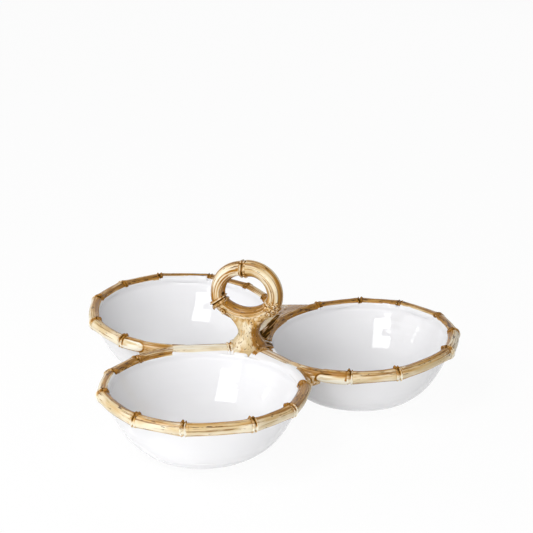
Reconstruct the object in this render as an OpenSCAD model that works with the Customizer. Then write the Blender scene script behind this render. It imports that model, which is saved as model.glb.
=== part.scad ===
// Divided serving bowl: three round bowls in a trefoil, a bamboo rim with knots round each,
// dividers that meet at a hub in the middle, and a ring handle on a flared stem.
// Millimetres, +Z up. The three foot rings stand on z = 0, the front bowl lies towards -Y,
// and the origin is under the middle of the whole outline.

/* [Bowls] */
// Radius of each rim, at the middle of its cane
rim_r = 75; // [68:1:82]
// Height of the rim over the table, at the handle
rim_h = 43.2; // [38:0.2:56]
// Rise of each rim away from the handle, in degrees
rim_tilt = 2.2; // [1:0.1:3.5]
// Width of a divider at its narrowest, from one bowl's opening to the next
divider_w = 15.3; // [14:0.1:18]
// Wall of a bowl at its lip
wall = 3.8; // [3.2:0.1:4.6]
// Thickness of a bowl's floor
floor_t = 5; // [4:0.5:7]
// Radius of the level middle of a bowl's floor
well_r = 26; // [20:1:32]
// Radius of a bowl's underside, where its side begins
base_r = 34; // [32:1:40]
// Height of the underside's middle over the table
foot_rise = 2; // [1.8:0.1:4]
// Outer radius of a foot ring
foot_r = 30; // [26:1:31]
// Width of a foot ring
foot_w = 4.5; // [3:0.5:6]
// Depth of the hollow inside a foot ring
foot_recess = 3; // [2.5:0.1:4]
// Height over the floor at which a bowl's side is joined to its base
joint_h = 8; // [6:0.5:12]

/* [Rim canes] */
// Radius of a rim cane
cane_r = 4.7; // [4.2:0.1:5.2]
// Depth of a cane's flat underside below its middle
seat_drop = 2.8; // [2:0.1:3.4]
// Bend radius of a cane length between two knots
bend_r = 130; // [110:5:220]
// How far the knots stand outside the rim's own radius
knot_out = 0.5; // [0:0.1:1]

/* [Knots] */
// Width of a rim knot along its cane
knot_w = 5; // [4:0.2:6]
// How far a knot's ridges stand over its cane
knot_proud = 1; // [0.6:0.1:1.4]
// Depth of the crease between the two ridges
knot_crease = 0.9; // [0.4:0.1:1.4]
// Radius of the small bud on a knot
bud_r = 1.7; // [1.2:0.1:2.2]

/* [Dividers and hub] */
// Height of a divider's crown over the rim's cane middle
crown = 4.5; // [3.6:0.1:5.2]
// Radius of a divider's arched top
arch_r = 16; // [14:0.5:20]
// Distance from the handle to the inner face of a divider's knot
hub_reach = 13; // [12:0.5:15]
// Where a divider meets its fork, past its narrowest place, as a share of the rim's radius
fork_share = 0.2266; // [0.2:0.01:0.26]
// Where the notch between two rims begins, past the same place, as a share of the rim's radius
crotch_share = 0.48; // [0.46:0.01:0.52]
// Depth of the web under a divider, below the rim's cane middle
web_drop = 7; // [6:0.5:12]
// Depth of the hub below the rim's cane middle
hub_drop = 20; // [12:1:26]
// Fall of the fork's middle over its length
fork_fall = 5; // [3:0.5:7]

/* [Handle] */
// Radius of the stem's foot, which stands on the hub
stem_foot_r = 13; // [11:0.5:13]
// Height of the foot over the hub, before the stem narrows
stem_foot_h = 3; // [2:0.5:5]
// Radius of the stem's waist
waist_r = 8.5; // [7.5:0.5:10]
// Height of the waist over the rim's cane middle
waist_h = 16; // [14:0.5:20]
// Radius of the flare over the waist
flare_r = 21; // [18:0.5:24]
// Height of the flare over the waist
flare_h = 14.5; // [12:0.5:18]
// Height of the ring's centre over the rim's cane middle
ring_h = 48.7; // [46:0.5:56]
// Half of the ring's width, at the middle of its cane
ring_half_w = 23.9; // [21:0.1:27]
// Half of the ring's height, at the middle of its cane
ring_half_h = 19.1; // [17:0.1:22]
// Radius of the ring's cane
ring_r = 6.4; // [5.8:0.1:7]
// Radius of the ring's left length, which is thinner
ring_left_r = 5.7; // [5:0.1:6.4]
// Radius of the left knot's collar, under its ridges
collar_r = 7.2; // [6.4:0.1:7.6]
// How far the ring's centre stands to the right of the stem
ring_shift = -1.5; // [-3:0.5:3]
// Width of a ring knot along the cane
ring_knot_w = 6; // [5:0.5:8]
// How far a ring knot's ridges stand over the cane
ring_knot_proud = 1.1; // [0.8:0.1:1.6]
// Radius of the cut branch beside the left ring knot
branch_r = 2.7; // [2:0.1:3.2]
// Length of the cut branch, from the middle of the cane
branch_l = 9.5; // [8:0.5:11]

/* [Hidden] */
$fn = 96;
RIMS = ["front", "right", "left"];
RIM_TURNS = [-90, 30, 150];
DIVIDERS = ["right", "back", "left"];
CANES = 7;

// Where the knots sit round each rim, in degrees from the rim's outermost point
KNOT_ANGLES = [
    [-112, -87, -56, -16, 13, 51, 80, 115],
    [-107, -79, -35.5, -7, 19, 52, 78, 106],
    [-106, -84, -54, -20, 8, 37, 73, 105]];
// The side of each bud along its cane, as a share of the knot's width
BUD_SHARES = [
    [-0.12, -0.12, 0.12, 0.12, -0.12, -0.12, -0.12, -0.12],
    [-0.12, -0.12, -0.12, -0.12, -0.12, -0.12, -0.12, -0.12],
    [-0.12, -0.12, -0.12, -0.12, -0.12, -0.12, 0.12, 0.12]];
// How high each bud sits on its knot, in degrees over the inner side
BUD_RISES = [
    [62, 48, 70, 75, 58, 66, 50, 64],
    [58, 70, 52, 60, 66, 48, 72, 60],
    [64, 50, 60, 68, 54, 72, 58, 66]];
// Outline of one half of a knot, from its end to its crease: each row has a share of its
// half width along the cane and a share of its ridge's height
KNOT_SHARES = [[1, 0], [0.84, 0.8], [0.6, 1], [0.28, 0.7]];
// Width of each ridge of a divider's knot, as a share of the knot's width
ridge_share = 0.4;
// Points round the ring, as shares of its half width and half height: the top, left and right
// knots, each followed by the middle of the cane that leads to the next
RING_SHARES = [[-0.09, 1], [-0.87, 0.49], [-0.98, -0.56], [-0.03, -1], [0.87, -0.51], [0.84, 0.62]];
TOP_KNOT = 0;
LEFT_KNOT = 2;
RIGHT_KNOT = 4;
// Where the cut branch stands on the ring, in the same shares
BRANCH_SHARES = [-0.67, -0.78];
// How far round the ring the cut branch faces, in degrees
BRANCH_ANGLE = 222;
// How far the cut branch leans outwards from the front, in degrees
BRANCH_LEAN_ANGLE = 28;
// How far a ring knot's buds sit from its middle, as a share of its width
bud_side_share = 0.06;
// How far round the top ring knot its bud sits, in degrees from the inner side
TOP_BUD_ANGLE = 172;
// How far round the right ring knot its cluster of buds goes, in degrees from the inner side
CLUSTER = [98, 142, 186];
// Shape of a bowl's side: 0.5 is a parabola, less is fuller
belly_share = 0.4;
// Steps of a curved profile
steps = 16;
// How far a cutting solid runs past the faces that it cuts
overrun = 1;
// Turn from a bowl's direction to the next divider's
DIVIDER_ANGLE = 60;
FULL_TURN_ANGLE = 360;
hole_r = rim_r - cane_r;
lip_r = hole_r + wall;
bowl_offset = (hole_r + divider_w / 2) / sin(DIVIDER_ANGLE);
handle_y = bowl_offset / 4;
bowl_h = (rim_h + bowl_offset * sin(rim_tilt)) / cos(rim_tilt);
body_h = bowl_h - foot_rise;
cavity_h = bowl_h - foot_recess - floor_t;
joint_depth = cavity_h - joint_h;
foot_x = bowl_offset * cos(rim_tilt) + bowl_h * sin(rim_tilt);
knot_ring_r = rim_r + knot_out;
cane_top = cane_r + knot_proud + bud_r;
divider_tilt = atan(cos(DIVIDER_ANGLE) * tan(rim_tilt));
divider_start = hub_reach + knot_w;
divider_middle = bowl_offset * cos(DIVIDER_ANGLE);
fork_start = divider_middle + fork_share * rim_r;

// Places: the rim's level at the handle, one bowl's tilted rim plane, and one divider
module at_rim_level() {
    translate([0, handle_y, rim_h]) children();
}

module at_lobe(turn) {
    at_rim_level() rotate([0, -rim_tilt, turn]) translate([bowl_offset, 0, 0]) children();
}

module at_divider(turn) {
    at_rim_level() rotate([0, -divider_tilt, turn + DIVIDER_ANGLE]) children();
}

// Radius of a bowl's side at a depth below the cane's middle. It passes through lip at the
// seat's depth, and reaches base at the full depth.
function side_r(depth, full, base, lip) =
    base + (lip - base) * pow((full - depth) / (full - seat_drop), belly_share);

function side_points(full, base, lip) = [
    for (i = [0:steps])
        let (depth = seat_drop + (full - seat_drop) * sin(90 * i / steps))
            [side_r(depth, full, base, lip), -depth]];

module side_solid(full, base, lip) {
    rotate_extrude()
        polygon(concat([[0, -seat_drop]], side_points(full, base, lip), [[0, -full]]));
}

// Everything that a bowl and its opening take up, which its neighbours keep out of
module bowl_space(turn) {
    at_lobe(turn) rotate_extrude()
        polygon(concat(
            [[0, crown + cane_top], [hole_r, crown + cane_top], [hole_r, -seat_drop]],
            side_points(body_h, base_r, lip_r),
            [[0, -body_h]]));
}

// The side of a bowl, from its joint with the base up to the seat of the rim
module bowl_side(turn) {
    color("whitesmoke") at_lobe(turn) difference() {
        side_solid(body_h, base_r, lip_r);
        side_solid(cavity_h, well_r, hole_r);
        translate([0, 0, -seat_drop]) cylinder(r = hole_r, h = overrun);
        translate([0, 0, -body_h - overrun]) cylinder(r = lip_r, h = body_h + overrun - joint_depth);
    }
}

// The floor and belly of a bowl, with its foot ring
module bowl_base(turn) {
    color("whitesmoke") difference() {
        union() {
            at_lobe(turn) side_solid(body_h, base_r, lip_r);
            foot_place(turn) cylinder(r = foot_r, h = foot_recess + foot_rise);
        }
        at_lobe(turn) side_solid(cavity_h, well_r, hole_r);
        at_lobe(turn) translate([0, 0, -joint_depth])
            cylinder(r = lip_r + overrun, h = joint_depth + overrun);
        foot_place(turn) translate([0, 0, -overrun])
            cylinder(r = foot_r - foot_w, h = foot_recess + overrun);
    }
}

module foot_place(turn) {
    translate([0, handle_y, 0]) rotate([0, 0, turn]) translate([foot_x, 0, 0]) children();
}

// A round cane with a flat underside, in section
module cane_section() {
    difference() {
        circle(r = cane_r);
        translate([-cane_r, -cane_r - seat_drop]) square([2 * cane_r, cane_r]);
    }
}

// The room of one knot across a cane that runs along Y
module knot_slab(width, reach) {
    translate([-reach, -width / 2, -reach]) cube([2 * reach, width, 2 * reach]);
}

module rim_knot_place(angle) {
    rotate([0, 0, angle]) translate([knot_ring_r, 0, 0]) children();
}

// One cane length between two knots. It bends less than the rim, so the rim turns a little
// more at each knot.
module cane_length(from, to) {
    half = (to - from) / 2;
    bow = asin(knot_ring_r * sin(half) / bend_r);
    middle = knot_ring_r * cos(half) - bend_r * cos(bow);
    difference() {
        rotate([0, 0, from + half]) translate([middle, 0, 0]) rotate([0, 0, -bow])
            rotate_extrude(angle = 2 * bow) translate([bend_r, 0]) cane_section();
        for (angle = [from, to])
            rim_knot_place(angle) knot_slab(knot_w, rim_r / 4);
    }
}

module rim_cane(rim, i) {
    color("burlywood") at_lobe(RIM_TURNS[rim])
        cane_length(KNOT_ANGLES[rim][i - 1], KNOT_ANGLES[rim][i]);
}

// Profile of a knot: two rounded ridges with a crease between them, on a cane of radius r
function ridge_point(i, r, width, proud, way) =
    [r + proud * KNOT_SHARES[i][1], way * width / 2 * KNOT_SHARES[i][0]];

function knot_points(r, width, proud, crease) = concat(
    [[0, -width / 2]],
    [for (i = [0:len(KNOT_SHARES) - 1]) ridge_point(i, r, width, proud, -1)],
    [[r + proud - crease, 0]],
    [for (i = [len(KNOT_SHARES) - 1:-1:0]) ridge_point(i, r, width, proud, 1)],
    [[0, width / 2]]);

module knot_body(r, width, proud, crease) {
    rotate([-90, 0, 0]) rotate_extrude() polygon(knot_points(r, width, proud, crease));
}

module rim_knots(rim) {
    color("peru") at_lobe(RIM_TURNS[rim])
        for (i = [0:len(KNOT_ANGLES[rim]) - 1])
            rim_knot_place(KNOT_ANGLES[rim][i]) {
                difference() {
                    knot_body(cane_r, knot_w, knot_proud, knot_crease);
                    translate([-cane_top, -knot_w, -cane_top - seat_drop])
                        cube([2 * cane_top, 2 * knot_w, cane_top]);
                }
                bud(BUD_RISES[rim][i], BUD_SHARES[rim][i] * knot_w, cane_r, bud_r);
            }
}

// A bud on a cane that runs along Y: rise is the angle from the inner side, side is along Y
module bud(rise, side, on_r, size) {
    rotate([0, rise, 0]) translate([-on_r, side, 0]) sphere(r = size);
}

// An arched bar along X, from the web's underside up to its crown
module arch_bar(from, to, top, round_r) {
    intersection() {
        translate([from, 0, top - round_r]) rotate([0, 90, 0]) cylinder(r = round_r, h = to - from);
        translate([from, -round_r, -web_drop]) cube([to - from, 2 * round_r, web_drop + top]);
    }
}

module divider(i) {
    color("wheat") difference() {
        at_divider(RIM_TURNS[i]) arch_bar(divider_start, fork_start, crown, arch_r);
        both_bowl_spaces(i);
    }
}

module both_bowl_spaces(i) {
    bowl_space(RIM_TURNS[i]);
    bowl_space(RIM_TURNS[(i + 1) % len(RIMS)]);
}

module divider_knots() {
    ridge = ridge_share * knot_w;
    color("peru") for (i = [0:len(RIMS) - 1])
        difference() {
            at_divider(RIM_TURNS[i]) {
                arch_bar(hub_reach, divider_start, crown + knot_proud - knot_crease, arch_r);
                arch_bar(hub_reach, hub_reach + ridge, crown + knot_proud, arch_r);
                arch_bar(divider_start - ridge, divider_start, crown + knot_proud, arch_r);
                translate([hub_reach + knot_w / 2, 0, crown + knot_proud - bud_r / 2])
                    sphere(r = bud_r);
            }
            both_bowl_spaces(i);
        }
}

// The piece that opens from a divider into the first canes of its two rims
crotch_s = crotch_share * rim_r;
crotch_q = bowl_offset * sin(DIVIDER_ANGLE);
outer_r = knot_ring_r + cane_r;
notch_r = (crotch_s * crotch_s + crotch_q * crotch_q - outer_r * outer_r)
    / (2 * (outer_r - crotch_s));
notch_turn = atan((crotch_s + notch_r) / crotch_q);
fork_end = divider_middle + outer_r * sin(notch_turn);
fork_turn = DIVIDER_ANGLE + 90 - asin((fork_share * rim_r - cane_r) / rim_r);

module fork(i) {
    next = (i + 1) % len(RIMS);
    last = KNOT_ANGLES[i][CANES];
    first = KNOT_ANGLES[next][0];
    color("burlywood") difference() {
        union() {
            at_divider(RIM_TURNS[i]) fork_middle();
            fork_arm(RIM_TURNS[i], last, fork_turn);
            fork_arm(RIM_TURNS[next], -fork_turn, first);
        }
        both_bowl_spaces(i);
        at_divider(RIM_TURNS[i]) {
            translate([divider_middle + crotch_s + notch_r, 0, -rim_h / 2]) cylinder(r = notch_r, h = rim_h);
            translate([fork_start - rim_r, -rim_r / 2, -rim_h / 2]) cube([rim_r, rim_r, rim_h]);
        }
        at_lobe(RIM_TURNS[i]) rim_knot_place(last) knot_slab(knot_w, rim_r / 4);
        at_lobe(RIM_TURNS[next]) rim_knot_place(first) knot_slab(knot_w, rim_r / 4);
    }
}

module fork_arm(turn, from, to) {
    at_lobe(turn) rotate([0, 0, from])
        rotate_extrude(angle = to - from) translate([knot_ring_r, 0]) cane_section();
}

module fork_middle() {
    fall = atan(fork_fall / (fork_end - fork_start));
    intersection() {
        translate([fork_start, 0, crown]) rotate([0, 90 + fall, 0])
            translate([arch_r, 0, -rim_r / 4]) cylinder(r = arch_r, h = rim_r);
        translate([fork_start, -arch_r, -web_drop])
            cube([fork_end - fork_start, 2 * arch_r, web_drop + crown]);
    }
}

// The three-pointed middle piece, between the three bowls and the three divider knots
module hub() {
    color("burlywood") difference() {
        at_rim_level() translate([0, 0, -hub_drop])
            cylinder(r = 2 * hub_reach, h = hub_drop + crown);
        for (turn = RIM_TURNS) {
            bowl_space(turn);
            at_divider(turn) translate([hub_reach, -rim_r, -rim_r]) cube(2 * rim_r);
        }
    }
}

// The stem stands on the hub and narrows to its waist, and the flare widens from there
function curved_r(i, r) = waist_r + (r - waist_r) * pow(i / steps, 2);

function stem_points() = [
    for (i = [0:steps])
        [curved_r(i, stem_foot_r), waist_h - (waist_h - crown - stem_foot_h) * i / steps]];

function flare_points() = [
    for (i = [0:steps]) [curved_r(i, flare_r), waist_h + flare_h * i / steps]];

module handle_stem() {
    color("burlywood") at_rim_level() rotate_extrude()
        polygon(concat([[0, waist_h]], stem_points(), [[stem_foot_r, crown], [0, crown]]));
}

// Ring: an oval of cane in the XZ plane, made of three arcs, one between each two knots
function ring_point(shares) = [ring_half_w * shares[0], ring_half_h * shares[1]];
function ring_place(i) = ring_point(RING_SHARES[(i + len(RING_SHARES)) % len(RING_SHARES)]);
function ring_run(i) = ring_place(i + 1) - ring_place(i - 1);
function ring_turn(i) = atan2(ring_run(i)[1], ring_run(i)[0]);

function squared(p) = p[0] * p[0] + p[1] * p[1];
function cross2(p, q) = p[0] * q[1] - p[1] * q[0];
function side(p) = [p[1], -p[0]];

// Centre of the circle through the points p, p + q and p + r
function circle_middle(p, q, r) =
    p + (squared(q) * side(r) - squared(r) * side(q)) / (2 * cross2(q, r));

module in_ring() {
    at_rim_level() translate([ring_shift, 0, ring_h]) rotate([90, 0, 0]) children();
}

// Places a cane's cross-section at a knot, with the cane along Y and X outwards
module ring_knot_place(i) {
    translate(ring_place(i)) rotate([0, 0, ring_turn(i) - 90]) children();
}

// The arc from knot i to the next one
module ring_arc(i, r) {
    start = ring_place(i);
    middle = ring_place(i + 1);
    end = ring_place(i + 2);
    centre = circle_middle(start, middle - start, end - start);
    radius = sqrt(squared(start - centre));
    a = atan2(start[1] - centre[1], start[0] - centre[0]);
    b = atan2(end[1] - centre[1], end[0] - centre[0]);
    translate(centre) rotate([0, 0, a])
        rotate_extrude(angle = (b - a + FULL_TURN_ANGLE) % FULL_TURN_ANGLE)
            translate([radius, 0]) circle(r = r);
}

module ring_length(i, r) {
    difference() {
        ring_arc(i, r);
        for (knot = [i, i + 2]) ring_knot_place(knot) knot_slab(ring_knot_w, 2 * ring_r);
    }
}

module ring_cane(i, r) {
    color("burlywood") in_ring() ring_length(i, r);
}

module ring_saddle() {
    color("burlywood") {
        in_ring() {
            ring_length(LEFT_KNOT, ring_r);
            translate(ring_point(BRANCH_SHARES))
                rotate([0, BRANCH_LEAN_ANGLE, BRANCH_ANGLE]) cylinder(r = branch_r, h = branch_l);
        }
        difference() {
            at_rim_level() intersection() {
                rotate_extrude() polygon(concat([[0, waist_h]], flare_points(), [[0, waist_h + flare_h]]));
                rotate([90, 0, 90]) translate([0, 0, -flare_r]) linear_extrude(2 * flare_r)
                    polygon([[-waist_r, waist_h], [waist_r, waist_h],
                             [ring_r, waist_h + flare_h], [-ring_r, waist_h + flare_h]]);
            }
            in_ring() {
                ring_knot_place(LEFT_KNOT) knot_slab(ring_knot_w, 2 * ring_r);
                ring_knot_place(RIGHT_KNOT) knot_slab(ring_knot_w, 2 * ring_r);
            }
        }
    }
}

module ring_knot(i, r) {
    in_ring() ring_knot_place(i) rotate([0, 180, 0])
        knot_body(r, ring_knot_w, ring_knot_proud, knot_crease);
}

module ring_knot_top() {
    color("peru") {
        ring_knot(TOP_KNOT, ring_r);
        in_ring() ring_knot_place(TOP_KNOT)
            bud(TOP_BUD_ANGLE, bud_side_share * ring_knot_w, ring_r, bud_r);
    }
}

module ring_knot_left() {
    color("peru") ring_knot(LEFT_KNOT, collar_r);
}

module ring_knot_right() {
    color("peru") {
        ring_knot(RIGHT_KNOT, ring_r);
        in_ring() ring_knot_place(RIGHT_KNOT)
            for (rise = CLUSTER) bud(rise, bud_side_share * ring_knot_w, ring_r, bud_r);
    }
}

for (rim = [0:len(RIMS) - 1]) {
    bowl_side(RIM_TURNS[rim]);
    bowl_base(RIM_TURNS[rim]);
    for (i = [1:CANES])
        rim_cane(rim, i);
    rim_knots(rim);
    divider(rim);
    fork(rim);
}
divider_knots();
hub();
handle_stem();
ring_saddle();
ring_cane(TOP_KNOT, ring_left_r);  // ring_cane_left
ring_cane(RIGHT_KNOT, ring_r);  // ring_cane_right
ring_knot_top();
ring_knot_left();
ring_knot_right();
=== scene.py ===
# %% [markdown]
# # A divided serving bowl in glazed stoneware
# Three white bowls stand in a trefoil. Each has a rim of painted bamboo, modelled in clay, and
# a ring handle of the same bamboo stands on a flared stem in the middle. The script dresses an
# imported CAD part: the frame comes first, every piece is then made in the part's own place, and
# the CAD nodes that each piece stands for are hidden.

# %% Load the frame
from math import asin, atan, atan2, copysign, cos, degrees, exp, hypot, pi, radians, sin, sqrt, tan

import bmesh
import bpy
from mathutils import Matrix, Vector, noise


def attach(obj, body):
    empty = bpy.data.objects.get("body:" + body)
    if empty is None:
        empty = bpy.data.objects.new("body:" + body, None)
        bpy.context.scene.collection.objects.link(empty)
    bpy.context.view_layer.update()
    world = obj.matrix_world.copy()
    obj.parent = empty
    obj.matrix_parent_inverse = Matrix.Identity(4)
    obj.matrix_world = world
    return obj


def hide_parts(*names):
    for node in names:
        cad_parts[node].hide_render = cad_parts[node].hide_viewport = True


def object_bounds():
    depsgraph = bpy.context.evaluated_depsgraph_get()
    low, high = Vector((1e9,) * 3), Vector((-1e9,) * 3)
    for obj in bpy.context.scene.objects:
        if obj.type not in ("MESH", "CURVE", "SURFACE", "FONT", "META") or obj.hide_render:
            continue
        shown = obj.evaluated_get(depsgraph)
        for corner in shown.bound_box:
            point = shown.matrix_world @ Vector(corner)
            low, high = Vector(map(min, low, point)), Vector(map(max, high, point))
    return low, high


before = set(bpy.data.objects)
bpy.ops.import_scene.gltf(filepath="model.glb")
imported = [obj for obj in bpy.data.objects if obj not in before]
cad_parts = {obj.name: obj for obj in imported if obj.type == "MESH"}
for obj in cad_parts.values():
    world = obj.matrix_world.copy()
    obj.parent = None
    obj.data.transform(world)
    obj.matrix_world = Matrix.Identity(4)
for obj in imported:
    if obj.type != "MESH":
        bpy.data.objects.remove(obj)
cad_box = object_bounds()
print("nodes:", len(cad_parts), "box:", [list(c) for c in cad_box])

# %% [markdown]
# ## Sizes
# The clay pieces follow the same few sizes as the CAD part. The meshes of its nodes could be
# measured instead, but named sizes are easier to read. They are given here in millimetres,
# because the shapes are worked out in millimetres and scaled to metres in one place.

# %% Sizes of the bowls and rims
MM = 0.001
RIM_R = 75
RIM_H = 43.2
RIM_TILT = radians(2.2)
DIVIDER_W = 15.3
CANE_R = 4.7
SEAT_DROP = 2.8
BEND_R = 130
KNOT_RING_R = RIM_R + 0.5
KNOT_W = 5
HOLE_R = RIM_R - CANE_R
WALL = 3.8
LIP_R = HOLE_R + WALL
WELL_R = 26
BASE_R = 34
FOOT_R = 30
FOOT_W = 4.5
FOOT_RISE = 2
FOOT_RECESS = 3
FLOOR_T = 5
CROWN = 4.5
BUD_R = 2.1
DIVIDER_ANGLE = radians(60)
BOWL_OFFSET = (HOLE_R + DIVIDER_W / 2) / sin(DIVIDER_ANGLE)
HANDLE_Y = BOWL_OFFSET / 4
BOWL_H = (RIM_H + BOWL_OFFSET * sin(RIM_TILT)) / cos(RIM_TILT)
BODY_H = BOWL_H - FOOT_RISE
CAVITY_H = BOWL_H - FOOT_RECESS - FLOOR_T
FOOT_X = BOWL_OFFSET * cos(RIM_TILT) + BOWL_H * sin(RIM_TILT)
print("bowl offset", round(BOWL_OFFSET, 2), "mm, bowl height", round(BOWL_H, 2), "mm")

# %% Directions and knots of the three rims
RIMS = ("front", "right", "left")
TURNS = {"front": radians(-90), "right": radians(30), "left": radians(150)}
KNOT_ANGLES = {
    "front": (-112, -87, -56, -16, 13, 51, 80, 115),
    "right": (-107, -79, -35.5, -7, 19, 52, 78, 106),
    "left": (-106, -84, -54, -20, 8, 37, 73, 105),
}
DIVIDERS = {"right": ("front", "right"), "back": ("right", "left"), "left": ("left", "front")}
print("knots on each rim:", {rim: len(angles) for rim, angles in KNOT_ANGLES.items()})

# %% [markdown]
# ## Places
# A matrix takes a shape from its own simple place, such as a bowl on the Z axis, to its place
# on the part. The objects could be moved and turned instead. Here the mesh itself goes to its
# place, because the part's pieces all keep their objects at the origin.

# %% Places as matrices
TO_METRES = Matrix.Scale(MM, 4)
AT_RIM_LEVEL = Matrix.Translation((0, HANDLE_Y, RIM_H))


def turned(angle, axis="Z"):
    return Matrix.Rotation(angle, 4, axis)


def lobe_place(rim):
    tilt = turned(-RIM_TILT, "Y")
    return AT_RIM_LEVEL @ turned(TURNS[rim]) @ tilt @ Matrix.Translation((BOWL_OFFSET, 0, 0))


def foot_place(rim):
    return Matrix.Translation((0, HANDLE_Y, 0)) @ turned(TURNS[rim]) @ Matrix.Translation((FOOT_X, 0, 0))


print("rim centres, mm:", {rim: [round(c, 1) for c in lobe_place(rim).translation] for rim in RIMS})

# %% [markdown]
# ## Camera
# The photograph was taken with a long lens, from the front and 22 degrees round to the right,
# a little above the rims. The lens and its distance follow from how much smaller the far rims
# look than the near one, and the small pan and dip from where the handle stands in the frame.

# %% Camera
VIEW_AZIMUTH = radians(22.19)
VIEW_ELEVATION = radians(23.20)
VIEW_ROLL = radians(-0.263)
VIEW_DISTANCE = 1291.3
LENS = 109.17
SENSOR_W = 36
PHOTO_SIDE = 533
HANDLE_PX = (248.59, 349.02)


def add_object(name, data):
    thing = bpy.data.objects.new(name, data)
    bpy.context.collection.objects.link(thing)
    return thing


def direction_to(azimuth, elevation):
    """From the object towards this azimuth, counted from the front, and elevation."""
    level = cos(elevation)
    return Vector((sin(azimuth) * level, -cos(azimuth) * level, sin(elevation)))


def make_camera():
    data = bpy.data.cameras.new("camera")
    data.lens, data.sensor_width = LENS, SENSOR_W
    camera = add_object("camera", data)
    back = direction_to(VIEW_AZIMUTH, VIEW_ELEVATION)
    right = Vector((cos(VIEW_AZIMUTH), sin(VIEW_AZIMUTH), 0))
    up = back.cross(right)
    focal_px = LENS / SENSOR_W * PHOTO_SIDE
    pan, dip = (atan((px - PHOTO_SIDE / 2) / focal_px) for px in HANDLE_PX)
    ahead, up = -back * cos(dip) + up * sin(dip), back * sin(dip) + up * cos(dip)
    ahead, right = ahead * cos(pan) - right * sin(pan), right * cos(pan) + ahead * sin(pan)
    right, up = (right * cos(VIEW_ROLL) + up * sin(VIEW_ROLL),
                 up * cos(VIEW_ROLL) - right * sin(VIEW_ROLL))
    spot = AT_RIM_LEVEL.translation + back * VIEW_DISTANCE
    aim = Matrix((right, up, -ahead)).transposed().to_4x4()
    camera.matrix_world = Matrix.Translation(spot * MM) @ aim
    bpy.context.scene.camera = camera
    return camera


camera = make_camera()
print("camera at", [round(c, 3) for c in camera.matrix_world.translation])

# %% [markdown]
# ## Glazes
# All the finishes are ceramic. White tin glaze covers the bowls. On the bamboo, an ivory glaze
# carries ochre and umber that were brushed on along the cane and pooled in the creases. One
# function turns a hex colour to Blender's linear colour, and one adds a node.

# %% Colours and nodes
WHITE = "#ececee"


def linear(hex_colour):
    parts = [int(hex_colour[i:i + 2], 16) / 255 for i in (1, 3, 5)]
    return tuple(c / 12.92 if c <= 0.04045 else ((c + 0.055) / 1.055) ** 2.4 for c in parts) + (1,)


def add_node(tree, kind, inputs=None, **settings):
    """Adds a node. The settings are its properties. inputs holds, for an input's name or
    number, either an output to link to it or the value that it keeps."""
    node = tree.nodes.new(kind)
    for name, value in settings.items():
        setattr(node, name, value)
    for key, value in (inputs or {}).items():
        if isinstance(value, bpy.types.NodeSocket):
            tree.links.new(value, node.inputs[key])
        else:
            node.inputs[key].default_value = value
    return node


def new_material(name):
    material = bpy.data.materials.new(name)
    material.use_nodes = True
    material.node_tree.nodes.clear()
    return material, material.node_tree


print("white glaze in linear colour:", [round(c, 3) for c in linear(WHITE)])

# %% [markdown]
# ### White glaze
# Tin glaze over stoneware: it is white and very smooth, so a window shows as a crisp rectangle
# in it. Its tone drifts a little in clouds some 40 mm wide, and slow waves in it, some 25 mm
# long, bend the edges of the reflections. A flat white would do from afar, but these two faint
# noises are what makes it look dipped and fired, and not moulded in plastic.

# %% White glaze
GLAZE_IOR = 1.5
GLAZE_CLOUD = 40
GLAZE_WAVE = 25


def white_glaze():
    material, tree = new_material("white_tin_glaze")
    place = add_node(tree, "ShaderNodeTexCoord").outputs["Object"]
    cloud = add_node(tree, "ShaderNodeTexNoise",
                     {"Vector": place, "Scale": 1 / (GLAZE_CLOUD * MM), "Detail": 2})
    tone = add_node(tree, "ShaderNodeMix", {
        "Factor": cloud.outputs["Fac"], "A": linear("#e9e9ec"), "B": linear("#efeff0")},
        data_type="RGBA")
    wave = add_node(tree, "ShaderNodeTexNoise",
                    {"Vector": place, "Scale": 1 / (GLAZE_WAVE * MM), "Detail": 1})
    bump = add_node(tree, "ShaderNodeBump", {
        "Height": wave.outputs["Fac"], "Strength": 0.25, "Distance": 0.6 * MM})
    shader = add_node(tree, "ShaderNodeBsdfPrincipled", {
        "Base Color": tone.outputs["Result"], "Normal": bump.outputs["Normal"],
        "Roughness": 0.05, "IOR": GLAZE_IOR})
    add_node(tree, "ShaderNodeOutputMaterial", {"Surface": shader.outputs["BSDF"]})
    return material


GLAZE = white_glaze()
print(GLAZE.name, "has", len(GLAZE.node_tree.nodes), "nodes")

# %% [markdown]
# ### Bare stoneware
# The face of a foot ring is wiped free of glaze, or it would stick to the kiln shelf. Fired
# stoneware is a sandy buff with fine dark specks, and it is matt. One fine noise gives the
# specks, 0.8 mm wide. It needs no bump, because it is seen only from below.

# %% Bare stoneware
SPECK = 0.8


def bare_stoneware():
    material, tree = new_material("bare_stoneware")
    place = add_node(tree, "ShaderNodeTexCoord").outputs["Object"]
    speck = add_node(tree, "ShaderNodeTexNoise",
                     {"Vector": place, "Scale": 1 / (SPECK * MM), "Detail": 3})
    tone = add_node(tree, "ShaderNodeMix", {
        "Factor": speck.outputs["Fac"], "A": linear("#b9a48a"), "B": linear("#e0d2bc")},
        data_type="RGBA")
    shader = add_node(tree, "ShaderNodeBsdfPrincipled",
                      {"Base Color": tone.outputs["Result"], "Roughness": 0.85})
    add_node(tree, "ShaderNodeOutputMaterial", {"Surface": shader.outputs["BSDF"]})
    return material


STONEWARE = bare_stoneware()
print(STONEWARE.name, "has", len(STONEWARE.node_tree.nodes), "nodes")
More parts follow.
